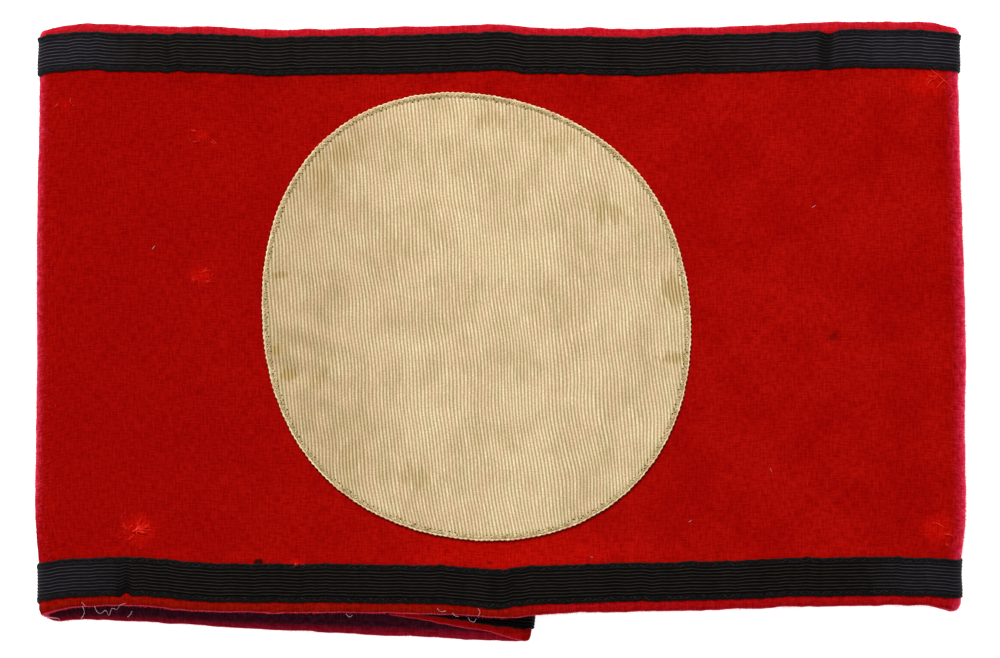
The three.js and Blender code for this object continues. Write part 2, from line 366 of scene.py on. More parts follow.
def puckers(x):
    fade = smooth((FOLD_CENTRE - abs(x)) / PUCKER_FADE)
    return fade * sum(
        row["height"] * (1 + math.sin(math.tau * x / row["length"] + row["start"])) for row in PUCKERS
    )


def crinkle(step, across, loose):
    """The small unevenness of the front, in millimetres: broad, small, and along the loose edges."""
    fade = smooth((FOLD_CENTRE + 2 - abs(step.x)) / 8) if step.on_front else 0.0
    if fade == 0.0:
        return 0.0
    broad = 0.12 * rough(step.way / 13, across / 11, 3.1)
    small = 0.035 * rough(step.way / 3.7, across / 3.9, 8.2)
    edge = 0.13 * loose * rough(step.way / 3.4, across / 9, 5.7)
    return fade * (broad + small + edge)


def side_shift(x, y):
    """How far the side folds' bowed outline moves a point outwards. SIDES goes by the point's y."""
    near = smooth((abs(x) - HALF_LENGTH + SIDES_REACH) / SIDES_REACH)
    if near == 0.0:
        return 0.0
    return math.copysign(near, x) * between(SIDES, y, "left" if x < 0 else "right")


CORNERS = {
    "top": {"sink": 0.15, "from": 90.3, "over": 3.5},
    "bottom": {"sink": 0.55, "from": 86.5, "over": 7},
}


def corner(step, across):
    """How far the bare margins sink at a side fold: the top one towards its ribbon, the low one away."""
    on_margin = {
        "top": smooth((across - STRIP_HEIGHT + TOP_MARGIN) / TOP_MARGIN),
        "bottom": smooth((BOTTOM_MARGIN - across) / BOTTOM_MARGIN),
    }
    sunk = 0.0
    for name, row in CORNERS.items():
        near_fold = smooth((abs(step.x) - row["from"]) / row["over"])
        sunk += row["sink"] * (on_margin[name] * near_fold)
    return -sunk


def lay(step, across, offset, sideways=0.0):
    """The point on the cloth, off the middle of the wool by offset, in metres in the row frame."""
    loose = looseness(across)
    y = height_at(step, across) + sideways + corner(step, across)
    lift = loose * puckers(step.x) if step.on_front else 0.0
    lift += crinkle(step, across, loose)
    x = step.x + side_shift(step.x, y) + step.lean * LEAN * (y - LEAN_FROM_Y)
    x += step.out[0] * offset
    z = step.z + lift + step.out[1] * offset
    return in_frame(x, y, z)


def front_way(x):
    """How far along the route the point at x is, on the front or on the upper half of a side fold."""
    low, high = (sum(SPANS[fold]) / 2 for fold in ("left_fold", "right_fold"))
    return turning_place(low, high, lambda way: step_at(way).x < x)


def on_front(x, y, offset):
    """A point over the front: a place in the photograph's scale, off the wool's middle by offset."""
    step = step_at(front_way(x - side_shift(x, y)))
    return lay(step, across_at(step, y), offset)


# %% [markdown]
# ## From a grid to a cloth
# Every cloth piece here starts as a flat grid from bmesh, and each vertex is then carried to its place
# on the route. The grid's own rows and columns give the UV map, in millimetres along and across the
# cloth, so a weave follows the cloth round its folds.

# %% Grid helper
def carried_grid(rows, columns, place):
    """A bmesh grid whose vertex in row i and column j goes where place(i, j) says.
    place gives the point, its two UV values and a dict of marks, which become point attributes."""
    bm = bmesh.new()
    bmesh.ops.create_grid(bm, x_segments=rows - 1, y_segments=columns - 1, size=1.0)
    bm.verts.ensure_lookup_table()
    uv_of, marks_of = {}, {}
    for vert in bm.verts:
        i = round((vert.co.x + 1) / 2 * (rows - 1))
        j = round((vert.co.y + 1) / 2 * (columns - 1))
        vert.co, uv_of[vert.index], marks_of[vert.index] = place(i, j)
    layer = bm.loops.layers.uv.new("cloth")
    for face in bm.faces:
        face.smooth = True
        for loop in face.loops:
            loop[layer].uv = uv_of[loop.vert.index]
    names = sorted(next(iter(marks_of.values())))
    layers = {key: bm.verts.layers.float.new(key) for key in names}
    for vert in bm.verts:
        for key, mark_layer in layers.items():
            vert[mark_layer] = marks_of[vert.index][key]
    return bm


def close_up(bm, weld=1e-7):
    """Welds a grid's vertices that lie within weld metres, then fills the openings that are left."""
    bmesh.ops.remove_doubles(bm, verts=bm.verts, dist=weld)
    rim = [edge for edge in bm.edges if edge.is_boundary]
    bmesh.ops.holes_fill(bm, edges=rim, sides=0)
    bmesh.ops.recalc_face_normals(bm, faces=bm.faces)


def link_piece(mesh):
    piece = bpy.data.objects.new(mesh.name, mesh)
    bpy.context.scene.collection.objects.link(piece)
    count = sum(len(polygon.vertices) - 2 for polygon in mesh.polygons)
    print(f"{mesh.name}: {count} triangles")
    return piece


def finish_piece(name, bm):
    mesh = bpy.data.meshes.new(name)
    bm.to_mesh(mesh)
    bm.free()
    return link_piece(mesh)


def spaced_ways(cloth):
    """Lengths along the route, with each stretch stepped as finely as the wool or the ribbon needs."""
    ways = [0.0]
    for stretch in ROUTE:
        start, end = SPANS[stretch["name"]]
        count = max(2, math.ceil((end - start) / stretch[cloth]))
        ways += [lerp(start, end, i / count) for i in range(1, count + 1)]
    return ways


# %% [markdown]
# ## The red wool
# The real band is a felted wool, thick and soft, cut raw at its edges and folded sharply at both sides.
# It is one closed skin: the grid's columns run up the outer face, over the raw top edge, down the inner
# face and back under the raw bottom edge, with the edges rounded as cut felt is.

# %% The wool band
WOOL_OUTER = WOOL / 2 + 0.45
WOOL_INNER = -WOOL / 2
WOOL_LINES = {"outer": 118, "inner": 34}
EDGE_WIDE = 1.4
EDGE_OUT = 0.2
EDGE_DROP = 0.25
TURNED_TRIM = 0.9
TURNED_TRIM_REACH = 10
CUT_ROUND = [(0.42, 1.0), (0.16, 0.86), (0.02, 0.62), (0.0, 0.34), (0.1, 0.12), (0.36, 0.0)]


def wool_profile():
    """Once round the strip's section: distance across, height between the faces, and which face."""
    def face(count):
        return [lerp(1.0, STRIP_HEIGHT - 1.0, i / (count - 1)) for i in range(count)]

    outer = [(across, 1.0, 0.0) for across in face(WOOL_LINES["outer"])]
    top = [(STRIP_HEIGHT - inset, level, 1 - level) for inset, level in CUT_ROUND]
    inner = [(across, 0.0, 1.0) for across in reversed(face(WOOL_LINES["inner"]))]
    bottom = [(inset, level, 1 - level) for inset, level in reversed(CUT_ROUND)]
    ring = outer + top + inner + bottom
    return ring + ring[:1]


def ragged(way, side):
    """How far a raw edge wanders, in millimetres."""
    slow = 0.26 * rough(way / 6.5, side, 1.7)
    quick = 0.16 * rough(way / 1.9, side, 4.4)
    return slow + quick


FOLD_EDGE = FOLD_CENTRE + FOLD_DEPTH + WOOL_OUTER
FOLD_NAP_AND_RIM_LIGHT = {"left": 2.3, "right": 3.4}
FACING_UP = {"from": -0.6, "over": 0.85}
LEFT_FOLD_PINK_FADE = {"share": 0.6, "below": 26, "over": 14}


def fold_share(step, across):
    """0 on the flat of the cloth and 1 at the very side, on the upper half of a fold, which is painted
    pink there: partly the nap's own pink and partly painted rim light. The right side is painted over a
    wider strip, and the left side less near its lower end."""
    reach = step.x + step.out[0] * WOOL_OUTER
    side = "left" if reach < 0 else "right"
    facing_up = smooth((step.out[1] - FACING_UP["from"]) / FACING_UP["over"])
    share = max(0.0, 1 - (FOLD_EDGE - abs(reach)) / FOLD_NAP_AND_RIM_LIGHT[side]) * facing_up
    if side == "right":
        return share
    near_bottom = smooth((LEFT_FOLD_PINK_FADE["below"] - across) / LEFT_FOLD_PINK_FADE["over"])
    return share * (1 - LEFT_FOLD_PINK_FADE["share"] * near_bottom)


def make_wool():
    profile = wool_profile()
    ways = spaced_ways("wool")
    steps = [step_at(way) for way in ways]

    def place(i, j):
        across, level, inside = profile[j]
        step = steps[i]
        edge = 1 - smooth(min(across, STRIP_HEIGHT - across) / EDGE_WIDE)
        if across < STRIP_HEIGHT / 2:
            trimmed = smooth((SPANS["turned_end"][1] - step.way) / TURNED_TRIM_REACH)
            wander = edge * (ragged(step.way, 0.0) - EDGE_OUT) + edge * TURNED_TRIM * trimmed
        else:
            wander = edge * (ragged(step.way, 9.0) + EDGE_OUT)
        side = fold_share(step, across)
        grain = 0.02 * rough(step.way / 1.1, across / 1.1, inside * 7)
        grain += 0.16 * side * rough(step.way / 2.2, across / 2.6, 4.9)
        offset = lerp(WOOL_INNER, WOOL_OUTER, level) + grain - edge * EDGE_DROP
        point = lay(step, across, offset, wander)
        marks = {"inside": inside, "raw_edge": edge, "fold": side}
        return point, (step.way, across), marks

    bm = carried_grid(len(ways), len(profile), place)
    close_up(bm)
    return finish_piece("wool_band", bm)


wool = make_wool()

# %% [markdown]
# ## The ribbed ribbons
# A ribbed ribbon has fine cords running along it, twelve of them here. They are real ridges in the mesh,
# because they catch the light along the whole front. The hand stitches along both edges pinch the outer
# ridges, so the edge is slightly scalloped and the ridges break up there. The ribbon also wanders from
# side to side by a fraction of a millimetre, as hand-sewn trim does.

# %% The two ribbons
RIBBON_BASE = WOOL_OUTER + 0.02
RIBBON_BODY = 0.5
RIB_COUNT = 12
RIB_HEIGHT = 0.05
COLUMNS_PER_RIB = 4
STITCH_PITCH = 2.35
STITCH_INSET = 0.75
RIBBON_SET_BACK = 0.5
TURNED_JOG = 0.45
RIBBONS = {
    "ribbon_top": {"from": STRIP_HEIGHT - TOP_MARGIN - RIBBON_WIDTH, "seed": 2.0},
    "ribbon_bottom": {"from": BOTTOM_MARGIN, "seed": 6.0},
}
KNOWN_KINKS = table(
    "node x wide sideways deep edge",
    ("ribbon_top", -68.5, 1.0, -0.25, 0.10, 0.5),
    ("ribbon_top", -66.0, 0.8, 0.25, 0.14, 0.0),
    ("ribbon_top", 67.6, 1.3, -0.65, 0.15, 1.0),
    ("ribbon_top", 66.0, 0.9, -0.30, 0.10, 0.5),
    ("ribbon_bottom", -76.6, 0.9, 0.65, 0.16, 0.0),
    ("ribbon_bottom", -78.4, 0.7, -0.20, 0.10, 0.0),
    ("ribbon_bottom", -1.6, 2.6, -0.40, 0.02, 0.0),
    ("ribbon_bottom", 2.4, 1.0, 0.25, 0.10, 0.5),
)
RANDOM_KINKS = {"wide": (0.5, 1.3), "sideways": (0.05, 0.19), "deep": (0.02, 0.11), "apart": (1.8, 6.5)}
DEEPEST_KINK = 0.2
KINK_FREE_ENDS = 6.0


def scatter_kinks(node):
    """The known kinks of a ribbon's front and many small ones at random along all of it."""
    dice = random.Random(RIBBONS[node]["seed"])
    kinks = [dict(row, way=front_way(row["x"])) for row in KNOWN_KINKS if row["node"] == node]
    way = KINK_FREE_ENDS
    while way < STRIP_LENGTH - KINK_FREE_ENDS:
        kinks.append({
            "way": way,
            "wide": dice.uniform(*RANDOM_KINKS["wide"]),
            "sideways": dice.choice((-1, 1)) * dice.uniform(*RANDOM_KINKS["sideways"]),
            "deep": dice.uniform(*RANDOM_KINKS["deep"]),
            "edge": dice.choice((0.0, 0.5, 1.0)),
        })
        way += dice.uniform(*RANDOM_KINKS["apart"])
    return sorted(kinks, key=lambda kink: kink["way"])


def wander(way, seed):
    """How far a ribbon strays to one side, in millimetres."""
    slow = 0.30 * rough(way / 15, seed, 0.3)
    quick = 0.11 * rough(way / 4.2, seed, 6.1)
    return slow + quick


def kinks_near(way, kinks):
    return [kink for kink in kinks if abs(way - kink["way"]) < 3 * kink["wide"]]


def kinked(way, share, kinks):
    """The sideways jog and the dip of some kinks at a place, in millimetres. A kink's edge is 0 for the
    ribbon's lower edge, 1 for its upper edge, and it is strongest there."""
    sideways, deep = 0.0, 0.0
    for kink in kinks:
        near = math.exp(-((way - kink["way"]) / kink["wide"]) ** 2)
        near *= 1 - 0.8 * abs(share - kink["edge"])
        sideways += kink["sideways"] * near
        deep += kink["deep"] * near
    return sideways, min(deep, DEEPEST_KINK)


def stitch_dip(way, share, seed):
    """1 at a stitch and 0 half-way to the next, along the ribbon's nearer edge."""
    stray = 0.35 * rough(way / 7, seed + (share > 0.5), 2.2)
    return 0.5 + 0.5 * math.cos(math.tau * (way + stray) / STITCH_PITCH)


def ribbon_offset(way, share, seed):
    """The height of the ribbon's outer face off the wool's middle, share of the way across it."""
    from_edge = min(share, 1 - share) * RIBBON_WIDTH
    rib = math.cos(math.tau * (share * RIB_COUNT - 0.5))
    pinch = math.exp(-((from_edge - STITCH_INSET) / 0.5) ** 2) * stitch_dip(way, share, seed)
    height = RIBBON_BASE + RIBBON_BODY + RIB_HEIGHT * rib * (1 - 0.55 * pinch) - 0.16 * pinch
    return height - 0.22 * (1 - smooth(from_edge / 0.35))


def make_ribbon(node):
    row = RIBBONS[node]
    seed = row["seed"]
    cut_ends = (RIBBON_SET_BACK, STRIP_LENGTH - RIBBON_SET_BACK)
    ways = [way for way in spaced_ways("ribbon") if cut_ends[0] < way < cut_ends[1]]
    steps = [step_at(way) for way in ways]
    near_kinks = [kinks_near(way, row["kinks"]) for way in ways]
    across_count = RIB_COUNT * COLUMNS_PER_RIB
    ring = [(k / across_count, 1.0) for k in range(across_count + 1)]
    ring += [(1.0, 0.5), (1.0, 0.0), (0.66, 0.0), (0.33, 0.0), (0.0, 0.0), (0.0, 0.5), (0.0, 1.0)]

    def place(i, j):
        share, level = ring[j]
        step = steps[i]
        offset = lerp(RIBBON_BASE, ribbon_offset(step.way, share, seed), level)
        across = row["from"] + share * RIBBON_WIDTH
        edge = (share - 0.5) * 2
        dip = stitch_dip(step.way, share, seed)
        scallop = -0.10 * abs(edge) ** 6 * math.copysign(1, edge) * dip
        sag = 0.09 * rough(step.way / 2.4, share * 3, seed)
        jog, deep = kinked(step.way, share, near_kinks[i])
        if node == "ribbon_bottom":
            jog += TURNED_JOG * math.exp(-((step.way - SPANS["turned_end"][1]) / 6) ** 2)
        offset -= level * deep
        point = lay(step, across, offset, wander(step.way, seed) + scallop + sag + jog)
        near_edge = 1 - smooth(min(share, 1 - share) * RIBBON_WIDTH / 1.5)
        marks = {"pinched": near_edge * dip, "side": 1 - level, "dipped": deep}
        return point, (step.way, share * RIB_COUNT), marks

    bm = carried_grid(len(ways), len(ring), place)
    close_up(bm)
    return finish_piece("trim_" + node, bm)


for node, row in RIBBONS.items():
    row["kinks"] = scatter_kinks(node)
ribbons = {node: make_ribbon(node) for node in RIBBONS}

# %% [markdown]
# ## The round patch
# The patch is a ribbed off-white cloth, cut round, turned under at its edge and sewn down. Its outline
# is a circle that the stitching has drawn out of true, a little oval and a little square. The columns of
# the grid stand upright and end on that outline, so the ribs, which are modelled, run straight through.
# The patch is plain all over.

# %% The patch
PATCH_RADIUS = 45.47
PATCH_DRAWN = table(
    "turns by turned",
    (1, 0.37, math.radians(187)), (2, 1.62, math.radians(-125)), (3, 0.21, math.radians(-12)),
    (4, 0.68, math.radians(163)),
)
PATCH_BASE = WOOL_OUTER + 0.02
PATCH_BODY = 0.52
PATCH_RIB = {"pitch": 0.715, "height": 0.05, "lean": 0.085, "top_bend": 0.55, "low_bend": 0.8}
PATCH_COLUMNS = 640
PATCH_ROWS = 140
HEM = {"round": 0.4, "stitched_to": 1.3}


def patch_radius(angle):
    drawn = sum(row["by"] * math.cos(row["turns"] * angle - row["turned"]) for row in PATCH_DRAWN)
    return PATCH_RADIUS + drawn


def outline_place(angle, inset=0.0):
    radius = patch_radius(angle) - inset
    return radius * math.cos(angle), radius * math.sin(angle)


OUTMOST = [math.radians(step / 4) for step in range(-80, 81)]
RIGHT_ANGLE = max(OUTMOST, key=lambda angle: outline_place(angle)[0])
LEFT_ANGLE = math.pi + min(OUTMOST, key=lambda angle: outline_place(math.pi + angle)[0])


def outline_height(x, end):
    """The y of the outline at x, on the half between the rightmost point and the angle end."""
    angle = turning_place(RIGHT_ANGLE, end, lambda angle: outline_place(angle)[0] > x)
    return outline_place(angle)[1]


def rib_phase(x, y):
    """Which rib a point is on. The ribs lean a little, more so near the top and bottom, and waver."""
    down = PATCH_RADIUS - y
    lean = PATCH_RIB["lean"] * down + PATCH_RIB["top_bend"] * (1 - math.exp(-down / 4.5))
    lean += PATCH_RIB["low_bend"] * math.exp((down - 2 * PATCH_RADIUS) / 9)
    waver = 0.85 * rough(x / 17, y / 13, 2.9)
    waver += 0.22 * rough(x / 5, y / 6, 7.3)
    return (x - lean + waver) / PATCH_RIB["pitch"]


LEFT_PUCKERS = {"x": -38.5, "y": -8.0, "reach_x": 8.0, "reach_y": 14.0, "height": 0.13, "length": 6.2}


def patch_pucker(x, y):
    """Soft creases drawn in by the stitching at the patch's left side, and faint ones elsewhere."""
    away = ((x - LEFT_PUCKERS["x"]) / LEFT_PUCKERS["reach_x"]) ** 2
    away += ((y - LEFT_PUCKERS["y"]) / LEFT_PUCKERS["reach_y"]) ** 2
    wave = math.sin(math.tau * (y + 0.35 * x) / LEFT_PUCKERS["length"])
    broad = 0.07 * rough(x / 9, y / 6.5, 1.2)
    return LEFT_PUCKERS["height"] * math.exp(-away) * wave + broad


def patch_level(x, y, inset):
    """The height of the patch's face off the wool's middle, at a distance in from its edge."""
    hem = 1 - smooth((inset - 0.5) / (HEM["stitched_to"] - 0.5))
    rib = math.cos(math.tau * rib_phase(x, y)) * (1 - 0.6 * hem)
    level = PATCH_BASE + PATCH_BODY + PATCH_RIB["height"] * rib + patch_pucker(x, y) * (1 - hem)
    sewn = math.exp(-((inset - 1.05) / 0.3) ** 2)
    return level + 0.08 * hem - 0.07 * sewn


def round_off(inset):
    """The share of its height that the turned edge has, at a distance in from the outline."""
    t = min(max(inset, 0.0) / HEM["round"], 1.0)
    return math.sqrt(max(0.0, 1 - (1 - t) ** 2))


def make_patch():
    columns = []
    left, right = outline_place(LEFT_ANGLE)[0], outline_place(RIGHT_ANGLE)[0]
    for j in range(PATCH_COLUMNS):
        u = 2 * j / (PATCH_COLUMNS - 1) - 1
        x = lerp(left, right, (1 + 1.3 * u - 0.3 * u ** 3) / 2)
        low, high = outline_height(x, LEFT_ANGLE - math.tau), outline_height(x, LEFT_ANGLE)
        columns.append((x, low, high, step_at(front_way(x + PATCH_CENTRE[0]))))

    def place(i, j):
        x, low, high, step = columns[j]
        y = lerp(low, high, (1 + math.sin((i / (PATCH_ROWS - 1) - 0.5) * math.pi)) / 2)
        inset = patch_radius(math.atan2(y, x)) - math.hypot(x, y)
        x, y = x + PATCH_CENTRE[0], y + PATCH_CENTRE[1]
        level = lerp(PATCH_BASE, patch_level(x, y, inset), round_off(inset))
        point = lay(step, across_at(step, y), level)
        point.x = (x + SHIFT_X) * MM
        marks = {"hem": 1 - smooth((inset - 0.8) / 0.5), "rim": 1 - smooth(inset / 0.5)}
        return point, (rib_phase(x, y), y), marks

    bm = carried_grid(PATCH_ROWS, PATCH_COLUMNS, place)
    close_up(bm, weld=2e-6)
    return finish_piece("round_patch", bm)


patch = make_patch()

# %% [markdown]
# ## Threads
# Stitches and loose ends are thin strands. A curve with a round bevel is the simplest way to a tube that
# follows any path and can taper, so all the strands of one kind go into one curve, which is then turned
# into a mesh.

# %% Strand helper
def strands_to_mesh(name, strands, thickness, roundness=0):
    """A mesh of thin round strands. A strand is a list of (point in metres, share of the thickness)."""
    curve = bpy.data.curves.new(name + "_lines", "CURVE")
    curve.dimensions = "3D"
    curve.bevel_depth = thickness / 2 * MM
    curve.bevel_resolution = roundness
    curve.use_fill_caps = True
    for strand in strands:
        spline = curve.splines.new("POLY")
        spline.points.add(len(strand) - 1)
        for point, (place, share) in zip(spline.points, strand):
            point.co = (*place, 1.0)
            point.radius = share
    lines = bpy.data.objects.new(name + "_lines", curve)
    bpy.context.scene.collection.objects.link(lines)
    depsgraph = bpy.context.evaluated_depsgraph_get()
    mesh = bpy.data.meshes.new_from_object(lines.evaluated_get(depsgraph))
    mesh.name = name
    bpy.data.objects.remove(lines)
    bpy.data.curves.remove(curve)
    for polygon in mesh.polygons:
        polygon.use_smooth = True
    return link_piece(mesh)


# %% Stitches and rim of the patch
PATCH_STITCH = {"pitch": 1.08, "near": 0.3, "far": 0.98, "thick": 0.2}
PATCH_STITCH_LINE = table(
    "t lift thick",
    (0.0, 0.0, 0.8), (0.25, 0.06, 1.0), (0.75, 0.05, 1.0), (1.0, -0.1, 0.7),
)
RIM_CORD = {"inset": 0.19, "thick": 0.4, "bead": 1.06, "points": 1350}


def patch_point(angle, inset, lift):
    x, y = outline_place(angle, inset)
    x, y = x + PATCH_CENTRE[0], y + PATCH_CENTRE[1]
    return on_front(x, y, patch_level(x, y, inset) + lift)


def make_patch_stitches():
    """A zigzag all round, and the places of the needle holes at its corners."""
    dice = random.Random(11)
    count = round(math.tau * PATCH_RADIUS / PATCH_STITCH["pitch"])
    turn = math.tau / count
    strands, holes = [], []
    for k in range(count):
        angle = turn * (k + dice.uniform(-0.12, 0.12))
        inner = PATCH_STITCH["far"] + dice.uniform(-0.14, 0.14)
        outer = PATCH_STITCH["near"]
        for lean in (0.5, -0.5):
            strand = []
            for spot in PATCH_STITCH_LINE:
                here = lerp(angle, angle + lean * turn, spot["t"])
                inset = lerp(outer, inner, spot["t"])
                strand.append((patch_point(here, inset, spot["lift"]), spot["thick"]))
            strands.append(strand)
        holes.append(patch_point(angle + 0.5 * turn, inner + 0.1, 0.0))
        if k % 3 == 0:
            holes.append(patch_point(angle, outer + 0.32, 0.01))
    return strands_to_mesh("patch_stitches", strands, PATCH_STITCH["thick"]), holes


def make_patch_rim():
    """The rolled edge: one beaded cord all round, where each stitch draws the cloth in."""
    strand = []
    for k in range(RIM_CORD["points"] + 1):
        angle = math.tau * k / RIM_CORD["points"]
        round_way = angle * PATCH_RADIUS
        bead = 0.5 + 0.5 * math.cos(math.tau * round_way / RIM_CORD["bead"])
        loose = rough(20 * math.cos(angle), 20 * math.sin(angle), 3.3)
        inset = RIM_CORD["inset"] - 0.1 * bead + 0.12 * loose
        strand.append((patch_point(angle, inset, -0.14), 0.7 + 0.3 * bead))
    return strands_to_mesh("patch_rim", [strand], RIM_CORD["thick"], roundness=2)


patch_stitches, hole_places = make_patch_stitches()
patch_rim = make_patch_rim()


# The needle holes are small dark blobs: painted shade standing for the shadow inside each hole.
def make_needle_holes():
    dice = random.Random(12)
    bm = bmesh.new()
    for place in hole_places:
        made = bmesh.ops.create_icosphere(bm, subdivisions=1, radius=dice.uniform(0.1, 0.24) * MM)
        bmesh.ops.scale(bm, verts=made["verts"], vec=(1.0, 1.0, 0.35))
        bmesh.ops.translate(bm, verts=made["verts"], vec=place)
    for face in bm.faces:
        face.smooth = True
    return finish_piece("needle_holes", bm)


needle_holes = make_needle_holes()

# %% [markdown]
# The ribbons are held by a low zigzag of black thread near both edges. Each stitch lies slantwise across
# the outer ribs and sinks into the ribbon at its ends.

# %% Stitches along the ribbons
RIBBON_STITCH = {"reach": 0.6, "slant": 0.36, "thick": 0.2}
RIBBON_STITCH_LINE = table(
    "t lift thick",
    (-1, -0.12, 0.6), (-0.4, 0.05, 1), (0.4, 0.05, 1), (1, -0.12, 0.6),
)


def ribbon_point(row, way, share, lift):
    """A point over the face of a ribbon, share of the way across it."""
    jog, deep = kinked(way, share, kinks_near(way, row["kinks"]))
    offset = ribbon_offset(way, share, row["seed"]) + lift
    across = row["from"] + share * RIBBON_WIDTH
    return lay(step_at(way), across, offset - deep, wander(way, row["seed"]) + jog)


def make_ribbon_stitches():
    dice = random.Random(5)
    strands = []
    for row in RIBBONS.values():
        for upper in (False, True):
            edge_seed = row["seed"] + upper
            for k in range(1, int(2 * STRIP_LENGTH / STITCH_PITCH)):
                way = k * STITCH_PITCH / 2
                way -= 0.35 * rough(way / 7, edge_seed, 2.2)
                if not 2 < way < STRIP_LENGTH - 2:
                    continue
                inset = STITCH_INSET + dice.uniform(-0.14, 0.14)
                slant = dice.uniform(0.6, 1.1) * RIBBON_STITCH["slant"] * (1 if k % 2 else -1)
                strand = []
                for spot in RIBBON_STITCH_LINE:
                    share = (inset - spot["t"] * slant) / RIBBON_WIDTH
                    share = 1 - share if upper else share
                    here = way + spot["t"] * RIBBON_STITCH["reach"]
                    strand.append((ribbon_point(row, here, share, spot["lift"]), spot["thick"]))
                strands.append(strand)
    return strands_to_mesh("ribbon_stitches", strands, RIBBON_STITCH["thick"])


ribbon_stitches = make_ribbon_stitches()

# %% [markdown]
# The lap on the back is held by a row of stitches between the turned-back end and the end that lies over
# it, where the two cloths are about two millimetres apart.

# %% Stitches in the lap
LAP_STITCH = {"x": -3.0, "from": -47.0, "to": 41.0, "pitch": 3.2, "slant": 1.2, "thick": 0.5}


def make_lap_stitches():
    strands = []
    low, high = TURNED_Z + WOOL_OUTER - 0.3, LAP_Z - WOOL_OUTER + 0.3
    count = int((LAP_STITCH["to"] - LAP_STITCH["from"]) / LAP_STITCH["pitch"])
    for k in range(count + 1):
        y = LAP_STITCH["from"] + k * LAP_STITCH["pitch"]
        x = LAP_STITCH["x"] + LEAN * (y - LEAN_FROM_Y)
        strand = []
        for t in (0.0, 0.5, 1.0):
            strand.append((in_frame(x, y + t * LAP_STITCH["slant"], lerp(low, high, t)), 1.0))
        strands.append(strand)
    return strands_to_mesh("lap_stitches", strands, LAP_STITCH["thick"], roundness=1)


lap_stitches = make_lap_stitches()

# %% [markdown]
# ## Loose ends
# Small tufts of bright red thread stand on the wool where a thread has been pulled out, and a few pale
# fibres cling to the mouth of the band. A tuft's strands fan out from one place. A fibre follows a few
# points, smoothly, and lies on the cloth or hangs over its edge.

# %% Tufts and fibres
TUFTS = table(
    "x y heading spread length strands thick",
    (-90.6, 43.4, 0, 180, 0.8, 4, 0.5), (-63.3, 38.2, -5, 15, 1.1, 4, 0.7),
    (-63.8, 36.3, 0, 30, 0.6, 2, 0.5), (-63.1, 35.7, 15, 10, 1.5, 2, 0.5),
    (-61.6, 37.0, 0, 20, 1.0, 2, 0.4), (-59.4, 36.5, -40, 12, 1.2, 2, 0.6),
    (-60.9, 9.3, 40, 14, 2.0, 3, 0.5), (-60.4, 7.3, 0, 8, 1.7, 2, 0.5),
    (-59.2, 8.4, 55, 20, 0.7, 2, 0.7), (-62.6, 7.7, 0, 180, 0.8, 7, 0.6),
    (-64.6, 5.4, 20, 60, 0.5, 2, 0.6), (-74.6, -43.7, 45, 38, 3.0, 10, 0.75),
    (-74.6, -43.6, -15, 32, 2.6, 9, 0.75), (-74.8, -43.8, 0, 180, 1.0, 9, 1.0),
    (-76.8, -43.6, 100, 45, 1.7, 6, 0.7), (-76.3, -45.7, 45, 15, 1.4, 3, 0.7),
    (-78.2, -45.3, 20, 40, 1.0, 2, 0.5), (-77.4, -40.5, 0, 180, 0.6, 2, 0.5),
    (-73.9, -47.3, 0, 30, 0.9, 2, 0.4), (-42.3, -50.6, -60, 60, 1.0, 6, 0.9),
    (-41.0, -50.8, 30, 60, 0.6, 3, 0.8), (88.5, 49.0, 120, 40, 1.1, 5, 0.7),
    (88.6, 49.0, -5, 25, 1.7, 4, 0.7), (88.3, 48.8, 215, 25, 1.5, 4, 0.7),
    (91.0, -44.6, 5, 25, 1.4, 3, 0.6), (91.1, -46.4, -30, 25, 0.8, 2, 0.6),
)
LONG_THREADS = [
    [(-88.2, 44.9), (-88.3, 44.2), (-88.0, 43.7), (-87.4, 43.3)],
    [(88.1, 51.0), (89.0, 50.2), (89.9, 49.4), (90.6, 48.6)],
    [(90.6, 48.7), (91.6, 47.6), (92.2, 46.3), (92.0, 45.4), (91.4, 45.0)],
    [(90.7, 48.7), (90.0, 47.9), (89.4, 47.0)],
    [(88.6, -42.3), (89.6, -42.3), (90.4, -42.8), (91.0, -43.3)],
    [(92.7, -44.4), (93.2, -45.3), (93.3, -46.2), (93.0, -46.9)],
]
PALE_FIBRES = [
    [(-85.8, -59.3), (-85.4, -60.3), (-85.5, -61.0), (-86.0, -61.9)],
    [(-83.3, -59.3), (-82.8, -60.4), (-82.0, -60.8), (-81.0, -60.2), (-80.3, -61.2), (-79.7, -59.8),
     (-78.7, -60.0), (-78.0, -59.1), (-76.9, -58.8)],
    [(-75.6, -60.3), (-75.8, -60.9), (-76.5, -61.6)],
    [(-94.0, -61.0), (-92.5, -61.2), (-91.0, -61.5), (-90.5, -62.0)],
    [(-86.0, -58.5), (-85.2, -59.3)],
    [(-31.6, -60.9), (-31.0, -61.5), (-30.4, -61.2)],
    [(-13.0, -59.7), (-12.2, -60.4), (-11.2, -60.2)],
    [(-6.6, -61.6), (-6.2, -62.3), (-5.4, -62.5), (-5.0, -61.8)],
    [(-4.6, -59.7), (-4.2, -60.5), (-4.6, -61.3)],
    [(-9.8, -60.6), (-9.4, -61.2), (-8.6, -61.4)],
    [(-71.4, 13.9), (-70.9, 14.6)],
    [(-30.2, 51.2), (-29.8, 51.7)],
    [(18.4, -49.1), (19.0, -49.3)],
    [(64.0, 22.5), (64.6, 22.9)],
    [(55.3, -31.0), (55.6, -31.7)],
    [(38.6, -42.0), (39.2, -41.7)],
]


